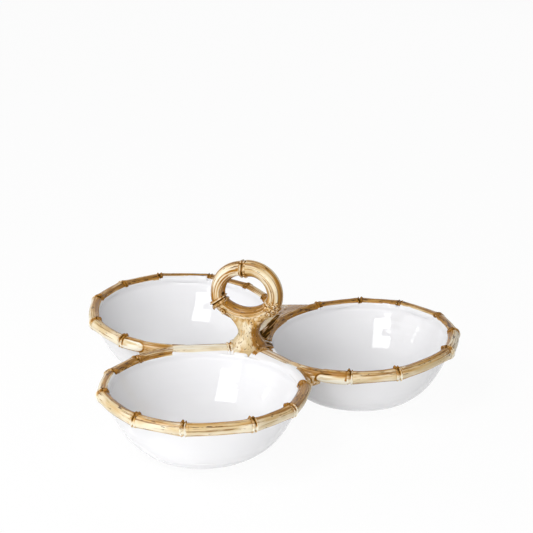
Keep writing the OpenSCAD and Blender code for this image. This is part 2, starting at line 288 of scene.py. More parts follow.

# %% [markdown]
# ### Painted cane
# Every vertex of a cane carries its own place in the cane in millimetres, as an attribute: two
# numbers across the cane and one along it. A noise that is stretched along the cane draws the
# brushed streaks: broad ochre washes, fine brown lines a hair wide, and short umber dashes. The
# denser the brushing, the lower the noise has to be for paint to show. Three more attributes
# give that density, where the paint stops and white glaze shows, and where umber lies: pooled in
# the creases, and on the stem's foot and right side, the far divider and the knots beside them
# also laid on as painted shade. The colours are then laid one over the other, as a painter lays
# them on the ivory ground. A painted image could carry the brushwork too, but a noise in the
# cane's own millimetres follows each bend and never repeats.

# %% Streaks and colours of the painted cane
# each streak's size across and along the cane in millimetres, its detail and roughness, and how
# much the density of the brushing adds to it
STREAKS = {
    "tone": ((9, 9, 24), 2, 0.5, 0),
    "wash": ((2.6, 2.6, 38), 2, 0.5, 0.46),
    "line": ((1.1, 1.1, 42), 3, 0.62, 0.17),
    "dash": ((1.3, 1.3, 7), 2, 0.55, 0.1),
}
# each colour's source, the values between which it comes in, its strength and the colour
LAYERS = (
    ("tone", -0.12, 0.12, 1, "#ebdfc4"),
    ("brushed", 0.05, -0.35, 1, "#f0ead9"),
    ("dense wash", 0.04, 0.3, 0.9, "#c69c5c"),
    ("dense wash", 0.24, 0.42, 0.9, "#a87625"),
    ("line", -0.1, -0.2, 0.6, "#ece0c4"),
    ("dense line", 0.11, 0.17, 0.85, "#8a5f26"),
    ("dense dash", 0.17, 0.23, 0.9, "#4a3016"),
    # umber is pooled paint in the creases, and on the stem's foot and right side, the far divider and the
    # divider knots beside them it is also painted shade
    ("umber", 0.12, 0.45, 1, "#a06d24"),
    ("umber", 0.5, 0.9, 1, "#4a3210"),
    ("paint", 0.6, 0.4, 1, WHITE),
)
print("streaks:", len(STREAKS), "layers of colour:", len(LAYERS))


# %% Painted cane
def streak_sources(tree):
    """The attributes and streaks that the colours follow. Streaks go from -0.5 to 0.5."""
    sources = {key: add_node(tree, "ShaderNodeAttribute", attribute_name=key).outputs["Fac"]
               for key in ("paint", "brushed", "umber")}
    along = add_node(tree, "ShaderNodeAttribute", attribute_name="along").outputs["Vector"]
    for key, (size, detail, roughness, share) in STREAKS.items():
        scaled = add_node(tree, "ShaderNodeVectorMath", {0: along, 1: size}, operation="DIVIDE")
        patches = add_node(tree, "ShaderNodeTexNoise", {
            "Vector": scaled.outputs[0], "Scale": 1, "Detail": detail, "Roughness": roughness})
        centred = add_node(tree, "ShaderNodeMath", {0: patches.outputs["Fac"], 1: 0.5},
                           operation="SUBTRACT")
        sources[key] = centred.outputs[0]
        if share:
            dense = add_node(tree, "ShaderNodeMath", {
                0: sources["brushed"], 1: share, 2: centred.outputs[0]}, operation="MULTIPLY_ADD")
            sources["dense " + key] = dense.outputs[0]
    return sources


def painted_cane(name, ground):
    material, tree = new_material(name)
    sources = streak_sources(tree)
    colour = linear(ground)
    for key, low, high, top, hex_colour in LAYERS:
        mask = add_node(tree, "ShaderNodeMapRange", {
            "Value": sources[key], "From Min": low, "From Max": high, "To Max": top},
            interpolation_type="SMOOTHSTEP")
        layer = add_node(tree, "ShaderNodeMix", {
            "Factor": mask.outputs["Result"], "A": colour, "B": linear(hex_colour)},
            data_type="RGBA")
        colour = layer.outputs["Result"]
    bump = add_node(tree, "ShaderNodeBump", {
        "Height": sources["line"], "Strength": 0.35, "Distance": 0.25 * MM})
    dull_umber = add_node(tree, "ShaderNodeMapRange", {
        "Value": sources["umber"], "From Min": 0.7, "From Max": 0.3, "To Max": 0.2},
        interpolation_type="SMOOTHSTEP")
    shader = add_node(tree, "ShaderNodeBsdfPrincipled", {
        "Base Color": colour, "Normal": bump.outputs["Normal"],
        "Specular IOR Level": dull_umber.outputs["Result"], "Roughness": 0.18, "IOR": GLAZE_IOR})
    add_node(tree, "ShaderNodeOutputMaterial", {"Surface": shader.outputs["BSDF"]})
    return material


CANE = painted_cane("ivory_glaze_brushed_ochre", "#d3bd92")
KNOT = painted_cane("ivory_glaze_umber_knot", "#d6b985")
print(CANE.name, "and", KNOT.name, "have", len(CANE.node_tree.nodes), "nodes each")

# %% [markdown]
# ## Finishing a piece
# Every clay piece ends the same way. Its bmesh is scaled to metres and becomes a mesh, the
# attributes go on, and the new object rides on the part's only body and replaces its nodes.

# %% Finish a piece
ATTRIBUTES = ("along", "paint", "brushed", "umber")


def mesh_of(bm, name="clay"):
    """Turns a bmesh into a mesh, and frees it."""
    mesh = bpy.data.meshes.new(name)
    bm.to_mesh(mesh)
    bm.free()
    return mesh


def finish_piece(name, bm, materials, nodes, marks=None):
    """marks, if given, has one (along, paint, brushed, umber) for each vertex, in millimetres."""
    bm.transform(TO_METRES)
    mesh = mesh_of(bm, name)
    for material in materials:
        mesh.materials.append(material)
    mesh.shade_smooth()
    if marks:
        along = mesh.attributes.new("along", "FLOAT_VECTOR", "POINT")
        along.data.foreach_set("vector", [c for m in marks for c in m[0]])
        for i, key in enumerate(ATTRIBUTES[1:], 1):
            mesh.attributes.new(key, "FLOAT", "POINT").data.foreach_set("value", [m[i] for m in marks])
    piece = add_object(name, mesh)
    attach(piece, "root")
    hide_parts(*nodes)
    print(name, "has", len(mesh.polygons), "faces")


print("attributes of a painted piece:", ATTRIBUTES)

# %% [markdown]
# ## Bowls
# A bowl is thrown on a wheel, so its half outline is spun round the axis. A squashed sphere
# could be hollowed out instead, but an outline gives the wall, the lip and the foot ring in one
# go. The lip runs up inside the rim's cane, and the wall keeps faint throwing ridges, about a
# tenth of a millimetre high and 4 mm apart. The foot ring stands level on the table, while the
# rim leans out by 2.2 degrees, so the spun bowl is bent a little between its foot and its side.

# %% Outline of a bowl
BELLY_POWER = 0.4
RIDGE_H = 0.07
RIDGE_STEP = 4.2
RIDGES_FROM, RIDGES_FULL = 4, 12
LIP_INSET = 0.25
# the rounded lip, as steps out from its inner edge and up from the rim's level
LIP_STEPS = ((0, -0.4), (0.25, 0.4), (0.9, 0.9), (2, 1))
LIP_END = (-0.4, 0.2)
EDGE = 0.8
PROFILE_STEPS = 36
WELL_STEPS = 6
UNDERSIDE_STEPS = 4


def smooth_step(x, low, high):
    """0 up to low, 1 from high on, and a smooth slope between. high may be the lower one."""
    t = min(max((x - low) / (high - low), 0), 1)
    return t * t * (3 - 2 * t)


def side_outline(full, base, lip, ridge):
    """From under the lip down to the full depth, where the side meets the base."""
    points = []
    for i in range(PROFILE_STEPS + 1):
        depth = SEAT_DROP + (full - SEAT_DROP) * sin(pi / 2 * i / PROFILE_STEPS)
        share = max(full - depth, 0) / (full - SEAT_DROP)
        r = base + (lip - base) * share ** BELLY_POWER
        ridges = sin(2 * pi * (depth + r / 2) / RIDGE_STEP) * smooth_step(depth, RIDGES_FROM, RIDGES_FULL)
        points.append((r + ridge * ridges, -depth))
    return points


def bowl_outline():
    """From the middle of the well, up the inside, over the lip, down the outside and foot."""
    lip_in, foot_in = HOLE_R - LIP_INSET, FOOT_R - FOOT_W
    inside = side_outline(CAVITY_H, WELL_R, lip_in, RIDGE_H)[::-1]
    outside = side_outline(BODY_H, BASE_R, LIP_R, RIDGE_H / 2)
    lip = [(lip_in + out, up) for out, up in LIP_STEPS] + [(LIP_R + LIP_END[0], LIP_END[1])]
    foot = [(FOOT_R + EDGE, -BODY_H), (FOOT_R, -BODY_H - EDGE), (FOOT_R, -BOWL_H + EDGE),
            (FOOT_R - EDGE, -BOWL_H), (foot_in + EDGE, -BOWL_H), (foot_in, -BOWL_H + EDGE),
            (foot_in, -BOWL_H + FOOT_RECESS - EDGE), (foot_in - EDGE, -BOWL_H + FOOT_RECESS)]
    well = [(WELL_R * i / WELL_STEPS, -CAVITY_H) for i in range(WELL_STEPS)]
    underside = [(foot_in * i / UNDERSIDE_STEPS, -BOWL_H + FOOT_RECESS)
                 for i in reversed(range(UNDERSIDE_STEPS))]
    return well + inside + lip + outside + foot + underside


print("a bowl's outline has", len(bowl_outline()), "points")

# %% Spin the bowls
SPIN_STEPS = 160
LEVEL_BELOW, LEANING_ABOVE = 2.5, 7.5
BARE_BELOW = 0.1
MERGE_WITHIN = 0.001


def turn_outwards(bm):
    bmesh.ops.recalc_face_normals(bm, faces=bm.faces[:])


def make_bowl(rim):
    bm = bmesh.new()
    outline = [bm.verts.new((r, 0, z)) for r, z in bowl_outline()]
    edges = [bm.edges.new(pair) for pair in zip(outline, outline[1:])]
    bmesh.ops.spin(bm, geom=outline + edges, cent=(0, 0, 0), axis=(0, 0, 1),
                   angle=2 * pi, steps=SPIN_STEPS, use_merge=True)
    bmesh.ops.remove_doubles(bm, verts=bm.verts[:], dist=MERGE_WITHIN)
    turn_outwards(bm)
    for face in bm.faces:
        if max(v.co.z for v in face.verts) < -BOWL_H + BARE_BELOW:
            face.material_index = 1
    leaning, level = lobe_place(rim), foot_place(rim)
    for v in bm.verts:
        height = v.co.z + BOWL_H
        share = smooth_step(height, LEVEL_BELOW, LEANING_ABOVE)
        stands = level @ Vector((v.co.x, v.co.y, height))
        v.co = stands.lerp(leaning @ v.co, share)
    nodes = ["bowl_side_" + rim, "bowl_base_" + rim]
    finish_piece("bowl_" + rim, bm, (GLAZE, STONEWARE), nodes)


for rim in RIMS:
    make_bowl(rim)

# %% [markdown]
# ## A bent cane
# A cane length is a circle spun through an arc, which gives a bent tube. A curve with a round
# bevel would give it too, but then its surface couldn't be shaped. Here its vertices are moved
# in and out, the way a thumb would press soft clay: the cane swells before a knot, has shallow
# flutes along it and wanders a little. The same tool makes knots, with other ups and downs.
# Each vertex is described by its place along the arc and its angle round the cane.

# %% Bent tube
def bent_tube(bend_r, section_r, start, end, step, around):
    """A tube of section_r round the arc of bend_r about Z, from start to end in radians."""
    bm = bmesh.new()
    bmesh.ops.create_circle(bm, cap_ends=False, radius=section_r, segments=around)
    bmesh.ops.rotate(bm, verts=bm.verts[:], cent=(0, 0, 0), matrix=turned(pi / 2, "X").to_3x3())
    bmesh.ops.translate(bm, verts=bm.verts[:], vec=(bend_r, 0, 0))
    bmesh.ops.rotate(bm, verts=bm.verts[:], cent=(0, 0, 0), matrix=turned(start).to_3x3())
    steps = max(2, round(bend_r * (end - start) / step))
    bmesh.ops.spin(bm, geom=bm.verts[:] + bm.edges[:], cent=(0, 0, 0), axis=(0, 0, 1),
                   angle=end - start, steps=steps)
    bmesh.ops.holes_fill(bm, edges=[e for e in bm.edges if e.is_boundary], sides=0)
    turn_outwards(bm)
    return bm


def press_clay(bm, bend_r, surface):
    """Moves each vertex to the radius that surface(s, phi) gives, and returns the marks.
    s is the length along the arc, and phi the angle round the cane from its outer side."""
    marks = []
    for v in bm.verts:
        turn = atan2(v.co.y, v.co.x)
        out = hypot(v.co.x, v.co.y) - bend_r
        phi = atan2(v.co.z, out)
        r, mark = surface(turn * bend_r, phi)
        reach = bend_r + r * cos(phi)
        v.co = Vector((reach * cos(turn), reach * sin(turn), r * sin(phi)))
        marks.append(mark)
    return marks


print("30 mm of cane bend by", round(degrees(30 / BEND_R), 1), "degrees")

# %% [markdown]
# The paint is dense on the top and thins out to plain cream on the outer side below. On the
# inner side it stops in a wandering line with an ochre edge, and the white glaze of the bowl
# runs up to it. Every cane was brushed by hand, so some are nearly cream and others ochre.

# %% Soft peaks and wandering
SEED_STEP = 200


def peak(x, middle, width):
    """1 at the middle, and falls away softly over the width on both sides."""
    return exp(-(((x - middle) / width) ** 2))


def wander(s, phi, seed, length, r=1.0):
    """Noise whose patches are of this length along the cane. A larger r makes them narrower."""
    return noise.noise(Vector((r * cos(phi), r * sin(phi), s / length)) + Vector((seed, 0, 0)))


def grain(s, phi, r, length, shift):
    """Like wander, but the shift goes along the cane, so that long flutes and streaks stay whole."""
    return noise.noise(Vector((r * cos(phi), r * sin(phi), s / length + shift)))


def place_in_cane(s, phi, r, seed):
    """Where the streaks are read: across the cane, and along it, far from any other cane's."""
    return r * cos(phi), r * sin(phi), s + SEED_STEP * seed


print("a peak one width from its middle:", round(peak(1, 0, 1), 2))

# %% Surface of a cane
FLUTE_H = 0.1
FLUTE_L = 40
FLUTE_FINE = 3.2
WANDER_H = 0.22
WANDER_L = 16
SWELL_H = 0.35
SWELL_L = 4.5


def cane_radius(s, phi, r, seed, to_end):
    flutes = FLUTE_H * grain(s, phi, FLUTE_FINE, FLUTE_L, seed)
    swell = SWELL_H * peak(max(to_end, 0), 0, SWELL_L)
    return r + swell + flutes + WANDER_H * wander(s, phi, seed, WANDER_L)


print("a cane swells to", CANE_R + SWELL_H, "mm beside a knot")

# %% Paint of a rim's cane
# for each cane of a rim, the angle in degrees at which its paint ends, from 0 at the outer side
# over the top to 180 at the inner side, and how densely it is brushed
PAINT_EDGES = {
    "front": (165, 128, 142, 150, 165, 165, 165),
    "right": (160, 160, 160, 142, 138, 145, 150),
    "left": (150, 150, 126, 160, 158, 150, 165),
}
DENSITIES = {
    "front": (0.7, 0.35, 0.5, 0.45, 0.55, 0.7, 0.9),
    "right": (0.7, 0.65, 0.55, 0.4, 0.35, 0.5, 0.6),
    "left": (0.3, 0.5, 0.55, 0.5, 0.65, 0.5, 0.35),
}
TOP_FROM, TOP_FULL = radians(-25), radians(65)
FOOT_LINE, FOOT_LINE_W = radians(-45), 0.22
CREST_LINE, CREST_LINE_W = radians(100), 0.1
EDGE_SOFT = 0.05
NEAR_KNOT_W, NEAR_KNOT_ARC = 1.3, (radians(-20), radians(50))
# how far before the paint's edge its ochre band and its brown line lie, and their widths, in
# radians
BAND_BACK, BAND_W = 0.62, 0.42
LINE_BACK, LINE_W = 0.1, 0.09


def from_below(phi):
    """The same angle counted so that it rises from the cane's underside over the top."""
    return phi if phi > -pi / 2 else phi + 2 * pi


def rim_paint(s, phi, seed, edge, density):
    """(paint, brushed, umber) on a rim's cane, whose paint ends at the angle edge."""
    inner = from_below(phi)
    # the edge of the paint wanders along the cane
    border = edge + 0.1 * wander(s, 0, seed + 5, 12) + 0.05 * wander(s, 0, seed + 9, 3)
    paint = 1 - smooth_step(inner, border - EDGE_SOFT, border + EDGE_SOFT)
    # the brushing is dense on the top, in a band along the edge and in a stroke low down outside
    top = smooth_step(inner, TOP_FROM, TOP_FULL)
    band = peak(inner, border - BAND_BACK, BAND_W) * (1 + 0.8 * wander(s, 0, seed + 1, 11))
    foot = 0.8 * peak(inner, FOOT_LINE, FOOT_LINE_W) * (1 + 0.8 * wander(s, 0, seed + 4, 15))
    brushed = density * (0.05 + 0.82 * top) + (0.65 + 0.2 * density) * band + foot
    brushed -= 0.3 * (1 - density) * (1 - top)
    # one broken brown line follows the edge, and one the crest
    line = 0.4 * peak(inner, border - LINE_BACK, LINE_W) * (0.5 + wander(s, 0, seed + 2, 14))
    crest = CREST_LINE + 0.12 * wander(s, 0, seed + 7, 20)
    crest_line = (0.35 + 0.45 * density) * peak(inner, crest, CREST_LINE_W)
    crest_line *= 0.6 + 1.1 * wander(s, 0, seed + 8, 9)
    return paint, brushed, max(line, crest_line, 0)


def rim_cane_surface(seed, half_l, edge, density):
    """A cane with its paint, and with umber where its top meets a knot."""
    def surface(s, phi):
        r = cane_radius(s, phi, CANE_R, seed, half_l - abs(s))
        paint, brushed, umber = rim_paint(s, phi, seed, edge, density)
        near_knot = peak(abs(s), half_l, NEAR_KNOT_W) * smooth_step(phi, *NEAR_KNOT_ARC)
        umber = max(umber, near_knot * (0.15 + 0.7 * wander(s, phi, seed + 3, 2)))
        return r, (place_in_cane(s, phi, r, seed), paint, brushed, umber)
    return surface


print("the most densely brushed cane:", max(max(d) for d in DENSITIES.values()))

# %% Rim canes
CANE_STEP = 1.4
CANE_AROUND = 40
TUCK = 0.8


def make_rim_cane(rim, index):
    start, end = (radians(a) for a in KNOT_ANGLES[rim][index - 1:index + 1])
    half = (end - start) / 2
    bow = asin(KNOT_RING_R * sin(half) / BEND_R)
    middle = KNOT_RING_R * cos(half) - BEND_R * cos(bow)
    half_l = BEND_R * bow - KNOT_W / 2
    reach = (half_l + TUCK) / BEND_R
    seed = 10 * RIMS.index(rim) + index + 0.37
    bm = bent_tube(BEND_R, CANE_R, -reach, reach, CANE_STEP, CANE_AROUND)
    edge, density = radians(PAINT_EDGES[rim][index - 1]), DENSITIES[rim][index - 1]
    marks = press_clay(bm, BEND_R, rim_cane_surface(seed, half_l, edge, density))
    bm.transform(lobe_place(rim) @ turned(start + half) @ Matrix.Translation((middle, 0, 0)))
    name = f"{rim}_cane_{index}"
    finish_piece(name, bm, (CANE,), [name], marks)


for rim in RIMS:
    for index in range(1, len(KNOT_ANGLES[rim])):
        make_rim_cane(rim, index)

# %% [markdown]
# ## Knots
# Where two lengths of bamboo meet there is a node: a narrow dark crease, a thin pale ridge
# beside it, and a bud on the inner side with dark paint in the crease round it. Rings and a
# ball could be stuck on, but they would meet in hard seams. So all of it is pressed into one
# short tube, as one smooth skin. Umber was wiped over the knot and stays in the crease, darkest
# at the top, and fades on the outer side below.

# %% Surface of a knot
# the place of each ridge and of the cut across the knot, from -1 to 1, and its width
WIDE_RIDGE, THIN_RIDGE, CUT = (-0.6, 0.32), (0.5, 0.2), (0.1, 0.16)
WIDE_SHARE = 0.75
# the shares of the ridges' height and of the crease that the cut goes down
CUT_RIDGE, CUT_CREASE = 0.3, 0.5
KNOT_SLANT = 0.3
KNOT_UNEVEN = 0.35


def knot_height(u, proud, crease):
    """Height over the cane at u, from -1 to 1 across the knot, with the bud at u below 0."""
    ridges = WIDE_SHARE * peak(u, *WIDE_RIDGE) + peak(u, *THIN_RIDGE)
    return proud * ridges - (proud * CUT_RIDGE + crease * CUT_CREASE) * peak(u, *CUT)


print("heights across a knot, mm:", [round(knot_height(u / 4, 1, 1), 2) for u in range(-4, 5)])


# %% Umber and buds of a knot
# the place and width of the umber in the cut, beside the thin ridge and at the knot's far end,
# and of the pale top of the thin ridge
DARK, BROWN, FAR, PALE = (0.12, 0.18), (0.9, 0.13), (-0.98, 0.14), (0.52, 0.16)
UPPER_FROM, UPPER_FULL = radians(-15), radians(45)
BUD_STRETCH, BUD_HEIGHT, BUD_FALL = 1.25, 0.85, 1.2
# the place and width, in shares of the bud's size, of the umber round it and on its top
BUD_RING, BUD_EYE = (1.2, 0.3), (0, 0.4)


def knot_umber(s, phi, seed, u, upper):
    """Umber in the cut and, thinner and browner, at both sides of the knot. Noise breaks it up."""
    dark = peak(u, *DARK) * upper * (1 + 1.1 * wander(s, phi, seed + 1, 2, 1.6))
    brown = 0.7 * peak(u, *BROWN) * upper * (0.7 + wander(s, phi, seed + 4, 1.5, 2.5))
    far = 0.6 * peak(u, *FAR) * upper * (0.6 + 1.3 * wander(s, phi, seed + 5, 2, 2.5))
    return max(dark, brown, far)


def knot_surface(seed, half_w, r0, proud, crease, buds, way, paint_at):
    """way is 1 or -1, and puts the thin ridge at the end or the start of the knot."""
    def surface(s, phi):
        u = way * (s + KNOT_SLANT * sin(phi + seed)) / half_w
        inner = from_below(phi)
        r = r0 + knot_height(u, proud, crease) * (1 + KNOT_UNEVEN * wander(s, phi, seed, 3))
        upper = smooth_step(inner, UPPER_FROM, UPPER_FULL)
        umber = knot_umber(s, phi, seed, u, upper)
        # each bud rises in a dome, with umber in a ring round it and in an eye on its top
        for bud_phi, bud_s, size in buds:
            away = hypot((s - bud_s) / (BUD_STRETCH * size), (inner - bud_phi) * r0 / size)
            r += BUD_HEIGHT * size * exp(-(away ** 2) * BUD_FALL)
            ring = peak(away, *BUD_RING) * (0.9 + 0.6 * wander(s, phi, seed + 6, 2, 2))
            umber = max(umber, ring, 0.6 * peak(away, *BUD_EYE))
        paint, brushed = paint_at(s, phi, seed)
        brushed -= 0.5 * peak(u, *PALE) + 0.35 * (1 - upper)
        return r, (place_in_cane(s, phi, r, seed), paint, brushed, umber * paint)
    return surface


print("a bud is", round(2 * BUD_STRETCH * BUD_R, 1), "mm long")

# %% Rim knots
KNOT_STEP = 0.2
KNOT_AROUND = 60
KNOT_PROUD = 1.0
KNOT_CREASE = 0.9
KNOT_DENSITY = 0.9
EDGE_LOWER = 10
BUD_SHARE = 0.2
# the angle of each knot's bud in degrees up from the inner side, and the end that it is on
BUD_RISES = {
    "front": (62, 48, 70, 75, 58, 66, 50, 64),
    "right": (58, 70, 52, 60, 66, 48, 72, 60),
    "left": (64, 50, 60, 68, 54, 72, 58, 66),
}
BUD_SIDES = {
    "front": (-1, -1, 1, 1, -1, -1, -1, -1),
    "right": (-1, -1, -1, -1, -1, -1, -1, -1),
    "left": (-1, -1, -1, -1, -1, -1, 1, 1),
}


def join_into(bm, other, place):
    """Adds a copy of other to bm at place, and frees other."""
    other.transform(place)
    part = mesh_of(other)
    bm.from_mesh(part)
    bpy.data.meshes.remove(part)


def rim_knot_paint(rim, i):
    """The paint of a knot ends a little below that of the canes beside it."""
    edges = PAINT_EDGES[rim]
    beside = edges[max(i - 1, 0)] + edges[min(i, len(edges) - 1)]
    edge = radians(beside / 2 + EDGE_LOWER)
    return lambda s, phi, seed: rim_paint(s, phi, seed, edge, KNOT_DENSITY)[:2]


def make_rim_knots(rim):
    whole, marks = bmesh.new(), []
    half = KNOT_W / 2 / KNOT_RING_R
    for i, angle in enumerate(KNOT_ANGLES[rim]):
        bm = bent_tube(KNOT_RING_R, CANE_R, -half, half, KNOT_STEP, KNOT_AROUND)
        seed = 3.1 * i + 40 * RIMS.index(rim) + 0.7
        side = BUD_SIDES[rim][i]
        buds = [(pi - radians(BUD_RISES[rim][i]), side * BUD_SHARE * KNOT_W, BUD_R)]
        marks += press_clay(bm, KNOT_RING_R, knot_surface(
            seed, KNOT_W / 2, CANE_R, KNOT_PROUD, KNOT_CREASE, buds, -side, rim_knot_paint(rim, i)))
        join_into(whole, bm, turned(radians(angle)))
    whole.transform(lobe_place(rim))
    name = rim + "_rim_knots"
    finish_piece(name, whole, (KNOT,), [name], marks)


for rim in RIMS:
    make_rim_knots(rim)

# %% [markdown]
# ## Fusing clay
# The dividers with their forks, and the middle with its stem, are rolls of clay worked into
# each other until no joint shows. Here the rolls are plain overlapping shapes. A Boolean union
# would join them with sharp seams. Blender's voxel remesh skins them as one instead, with an
# even net, and some rounds of smoothing rub the creases soft.

# %% Fuse overlapping shapes
# the voxel in millimetres and the rounds of smoothing
DIVIDER_SKIN = (0.7, 4)
HANDLE_SKIN = (0.6, 8)


def fused(bm, voxel, rounds):
    """Skins the overlapping closed shapes of bm as one and smooths them. Works in millimetres."""
    mesh = mesh_of(bm)
    holder = add_object("fusing", mesh)
    remesh = holder.modifiers.new("remesh", "REMESH")
    remesh.mode, remesh.voxel_size, remesh.adaptivity = "VOXEL", voxel, 0
    depsgraph = bpy.context.evaluated_depsgraph_get()
    skin = bpy.data.meshes.new_from_object(holder.evaluated_get(depsgraph))
    out = bmesh.new()
    out.from_mesh(skin)
    bpy.data.objects.remove(holder)
    bpy.data.meshes.remove(mesh)
    bpy.data.meshes.remove(skin)
    for _ in range(rounds):
        bmesh.ops.smooth_vert(out, verts=out.verts[:], factor=0.5,
                              use_axis_x=True, use_axis_y=True, use_axis_z=True)
    return out


print("voxels:", DIVIDER_SKIN[0], "mm for a divider,", HANDLE_SKIN[0], "mm for the handle")

# %% [markdown]
# ## Dividers and forks
# A divider is the rim that two bowls share: a flat arch, narrowest in the middle. Its sides
# follow the two openings. Towards the outside it opens into the two rims like the letter Y,
# and a web of clay falls away between the arms. The arch is a slab whose vertices are pulled to
# the plan, because a tube can't be this wide and flat, and the arms are bent tubes like the rest.

# %% Arch and web of a divider
MIDDLE = BOWL_OFFSET * cos(DIVIDER_ANGLE)
ACROSS = BOWL_OFFSET * sin(DIVIDER_ANGLE)
DIVIDER_TILT = atan(cos(DIVIDER_ANGLE) * tan(RIM_TILT))
HUB_REACH = 13
DIVIDER_START = HUB_REACH + KNOT_W
FORK_START = MIDDLE + 0.2266 * RIM_R
ARCH_R = 16
WEB_DROP = 7
OVERLAP = 0.1
SPREAD_FROM, SPREAD_FULL = FORK_START - 2, FORK_START + 6
DIVIDER_GRID = (60, 16)
# where each fork's web ends, how far it falls, how high the arch stays at its edges and how
# much the web leans
WEBS = {
    "right": (MIDDLE + 0.43 * RIM_R, 5, 9, 0),
    "back": (MIDDLE + 0.7 * RIM_R, 3.8, 13.5, 0.15),
    "left": (MIDDLE + 0.56 * RIM_R, 5, 9, 0),
}


def half_width(s, r):
    """Half of the clay's width at s along the divider, between circles of radius r."""
    return ACROSS - sqrt(max(r * r - (s - MIDDLE) ** 2, 0))


def divider_place(side):
    return AT_RIM_LEVEL @ turned(TURNS[DIVIDERS[side][0]] + DIVIDER_ANGLE) @ turned(-DIVIDER_TILT, "Y")


def drawn_up(bm, faces):
    """Extrudes the faces, and returns the new vertices and the new faces."""
    drawn = bmesh.ops.extrude_face_region(bm, geom=faces)["geom"]
    kinds = bmesh.types.BMVert, bmesh.types.BMFace
    return [[item for item in drawn if isinstance(item, kind)] for kind in kinds]


def clay_slab(x_segments, y_segments):
    """A square of clay from -1 to 1, and the set of the vertices of its underside."""
    bm = bmesh.new()
    bmesh.ops.create_grid(bm, x_segments=x_segments, y_segments=y_segments, size=1)
    low, _ = drawn_up(bm, bm.faces[:])
    return bm, set(low)


def divider_bar(start, end, fork_fall, web_edge, web_tilt):
    """A slab pulled to the divider's plan and arched. With a web_tilt the arch turns into a
    level web that leans to one side."""
    bm, low = clay_slab(*DIVIDER_GRID)
    for v in bm.verts:
        s = start + (end - start) * (v.co.x + 1) / 2
        spread = smooth_step(s, SPREAD_FROM, SPREAD_FULL)
        half = half_width(s, HOLE_R + OVERLAP + (KNOT_RING_R - HOLE_R) * spread)
        q = v.co.y * half
        fall = fork_fall * max(s - FORK_START, 0) / (end - FORK_START)
        level = smooth_step(s, FORK_START, end) if web_tilt else 0
        arch = ARCH_R - sqrt(max(ARCH_R ** 2 - q * q, web_edge ** 2))
        top = CROWN - arch * (1 - level) - web_tilt * q * level - fall
        v.co = Vector((s, q, -WEB_DROP if v in low else top))
    turn_outwards(bm)
    return bm


print("a divider is", round(2 * half_width(MIDDLE, HOLE_R), 1), "mm wide at its narrowest")

# %% Fork arms
ARM_STEP = 1.2
ARM_AROUND = 32
STUB_R = 5.3
# the rim that the cane end continues, the way it runs, its length and the middle of its pale face
STUBS = {"right": (1, -1, 25, radians(-12)), "left": (0, 1, 21, radians(14))}


def fork_arm(start, end):
    return bent_tube(KNOT_RING_R, CANE_R, start, end, ARM_STEP, ARM_AROUND)


def stub_solid(knot, way, length):
    """The thicker cane end that lies on one arm of a fork, with a round end."""
    swing = way * (length - STUB_R) / KNOT_RING_R
    first, last = sorted((knot + way * KNOT_W / 2 / KNOT_RING_R, knot + swing))
    bm = bent_tube(KNOT_RING_R, STUB_R, first, last, ARM_STEP, ARM_AROUND)
    end = bmesh.new()
    bmesh.ops.create_uvsphere(end, u_segments=ARM_AROUND, v_segments=ARM_AROUND // 2, radius=STUB_R)
    join_into(bm, end, turned(knot + swing) @ Matrix.Translation((KNOT_RING_R, 0, 0)))
    return bm


print("thicker cane ends on the forks:", list(STUBS))

# %% [markdown]
# The paint of a divider follows it as far as the fork, and then each arm. Three things are
# drawn on top: the outline of the pale face that a cut cane end shows, the umber that pooled
# along the far divider, made darker as painted shade behind the handle, away from the light,
# and the white glaze of a bowl where it runs up over an edge.

# %% Places on a fork
LOOP_HALF = radians(46)
LOOP_FAR = 9


def to_spine(point, place_back):
    """A point's length along, height over and distance out from a rim's spine."""
    p = place_back @ point
    return atan2(p.y, p.x) * KNOT_RING_R, p.z, hypot(p.x, p.y) - KNOT_RING_R


def loop_distance(spine, knot, stub):
    """How far a point lies from the middle of the cane end's pale face: 1 is on its outline."""
    s, z, out = spine
    _, way, length, middle = stub
    half = LOOP_HALF * STUB_R
    past = way * (s - knot * KNOT_RING_R)
    if past < 0 or hypot(z, out) > STUB_R + 2:
        return LOOP_FAR
    return hypot(max(past - length + half, 0), (atan2(z, out) - middle) * STUB_R) / half


print("a pale face is", round(2 * LOOP_HALF * STUB_R, 1), "mm wide")

# %% Poured umber with painted shade, and bare edges
# the side on which the front bowl's glaze runs up over the divider, and how far out it starts
BARE_SIDES = {"right": (-1, 3), "left": (1, 7.3)}
BARE_ARM_ANGLE, BARE_END_ANGLE = radians(72), radians(60)


def back_umber_and_shade(x, y):
    """1 where umber was poured down the far divider, on the right-hand bowl's side of its ridge,
    and where it is made darker as painted shade behind the handle, away from the light.
    """
    low = -6.5 + 0.12 * (x - 30)
    across = smooth_step(y, 1.6, 0.4) * smooth_step(y, low - 0.8, low + 0.6)
    return across * smooth_step(x, FORK_START + 16, FORK_START - 2)


def bare_share(side, p, spines, knot):
    """How much paint is left where the glaze of a bowl runs up over the divider's edge."""
    if side not in BARE_SIDES:
        return 1
    way, reach = BARE_SIDES[side]
    if p.x < FORK_START:
        reach -= 2 * smooth_step(p.x, FORK_START - 15, FORK_START) * (side == "right")
        return smooth_step(way * p.y, reach + 0.5, reach - 0.5)
    s, z, out = spines[0]
    if side != "right" or hypot(z, out) > hypot(*spines[1][1:]):
        return 1
    phi = atan2(z, out) if z > 0 or out > 0 else pi
    edge = BARE_ARM_ANGLE + BARE_END_ANGLE * smooth_step(abs(s - knot * KNOT_RING_R), 4.5, 2.5)
    return smooth_step(phi, edge + 0.15, edge - 0.15)


print("the front bowl's glaze runs up over the dividers on the", list(BARE_SIDES))

# %% Paint of a divider
DIVIDER_DENSITIES = {"right": 0.55, "back": 0.85, "left": 0.3}
LOOP_LINE = (1.1, 0.17)
LOOP_RISE = 0.35
EDGE_IN = 1.6
WOBBLE_SIZE = 6


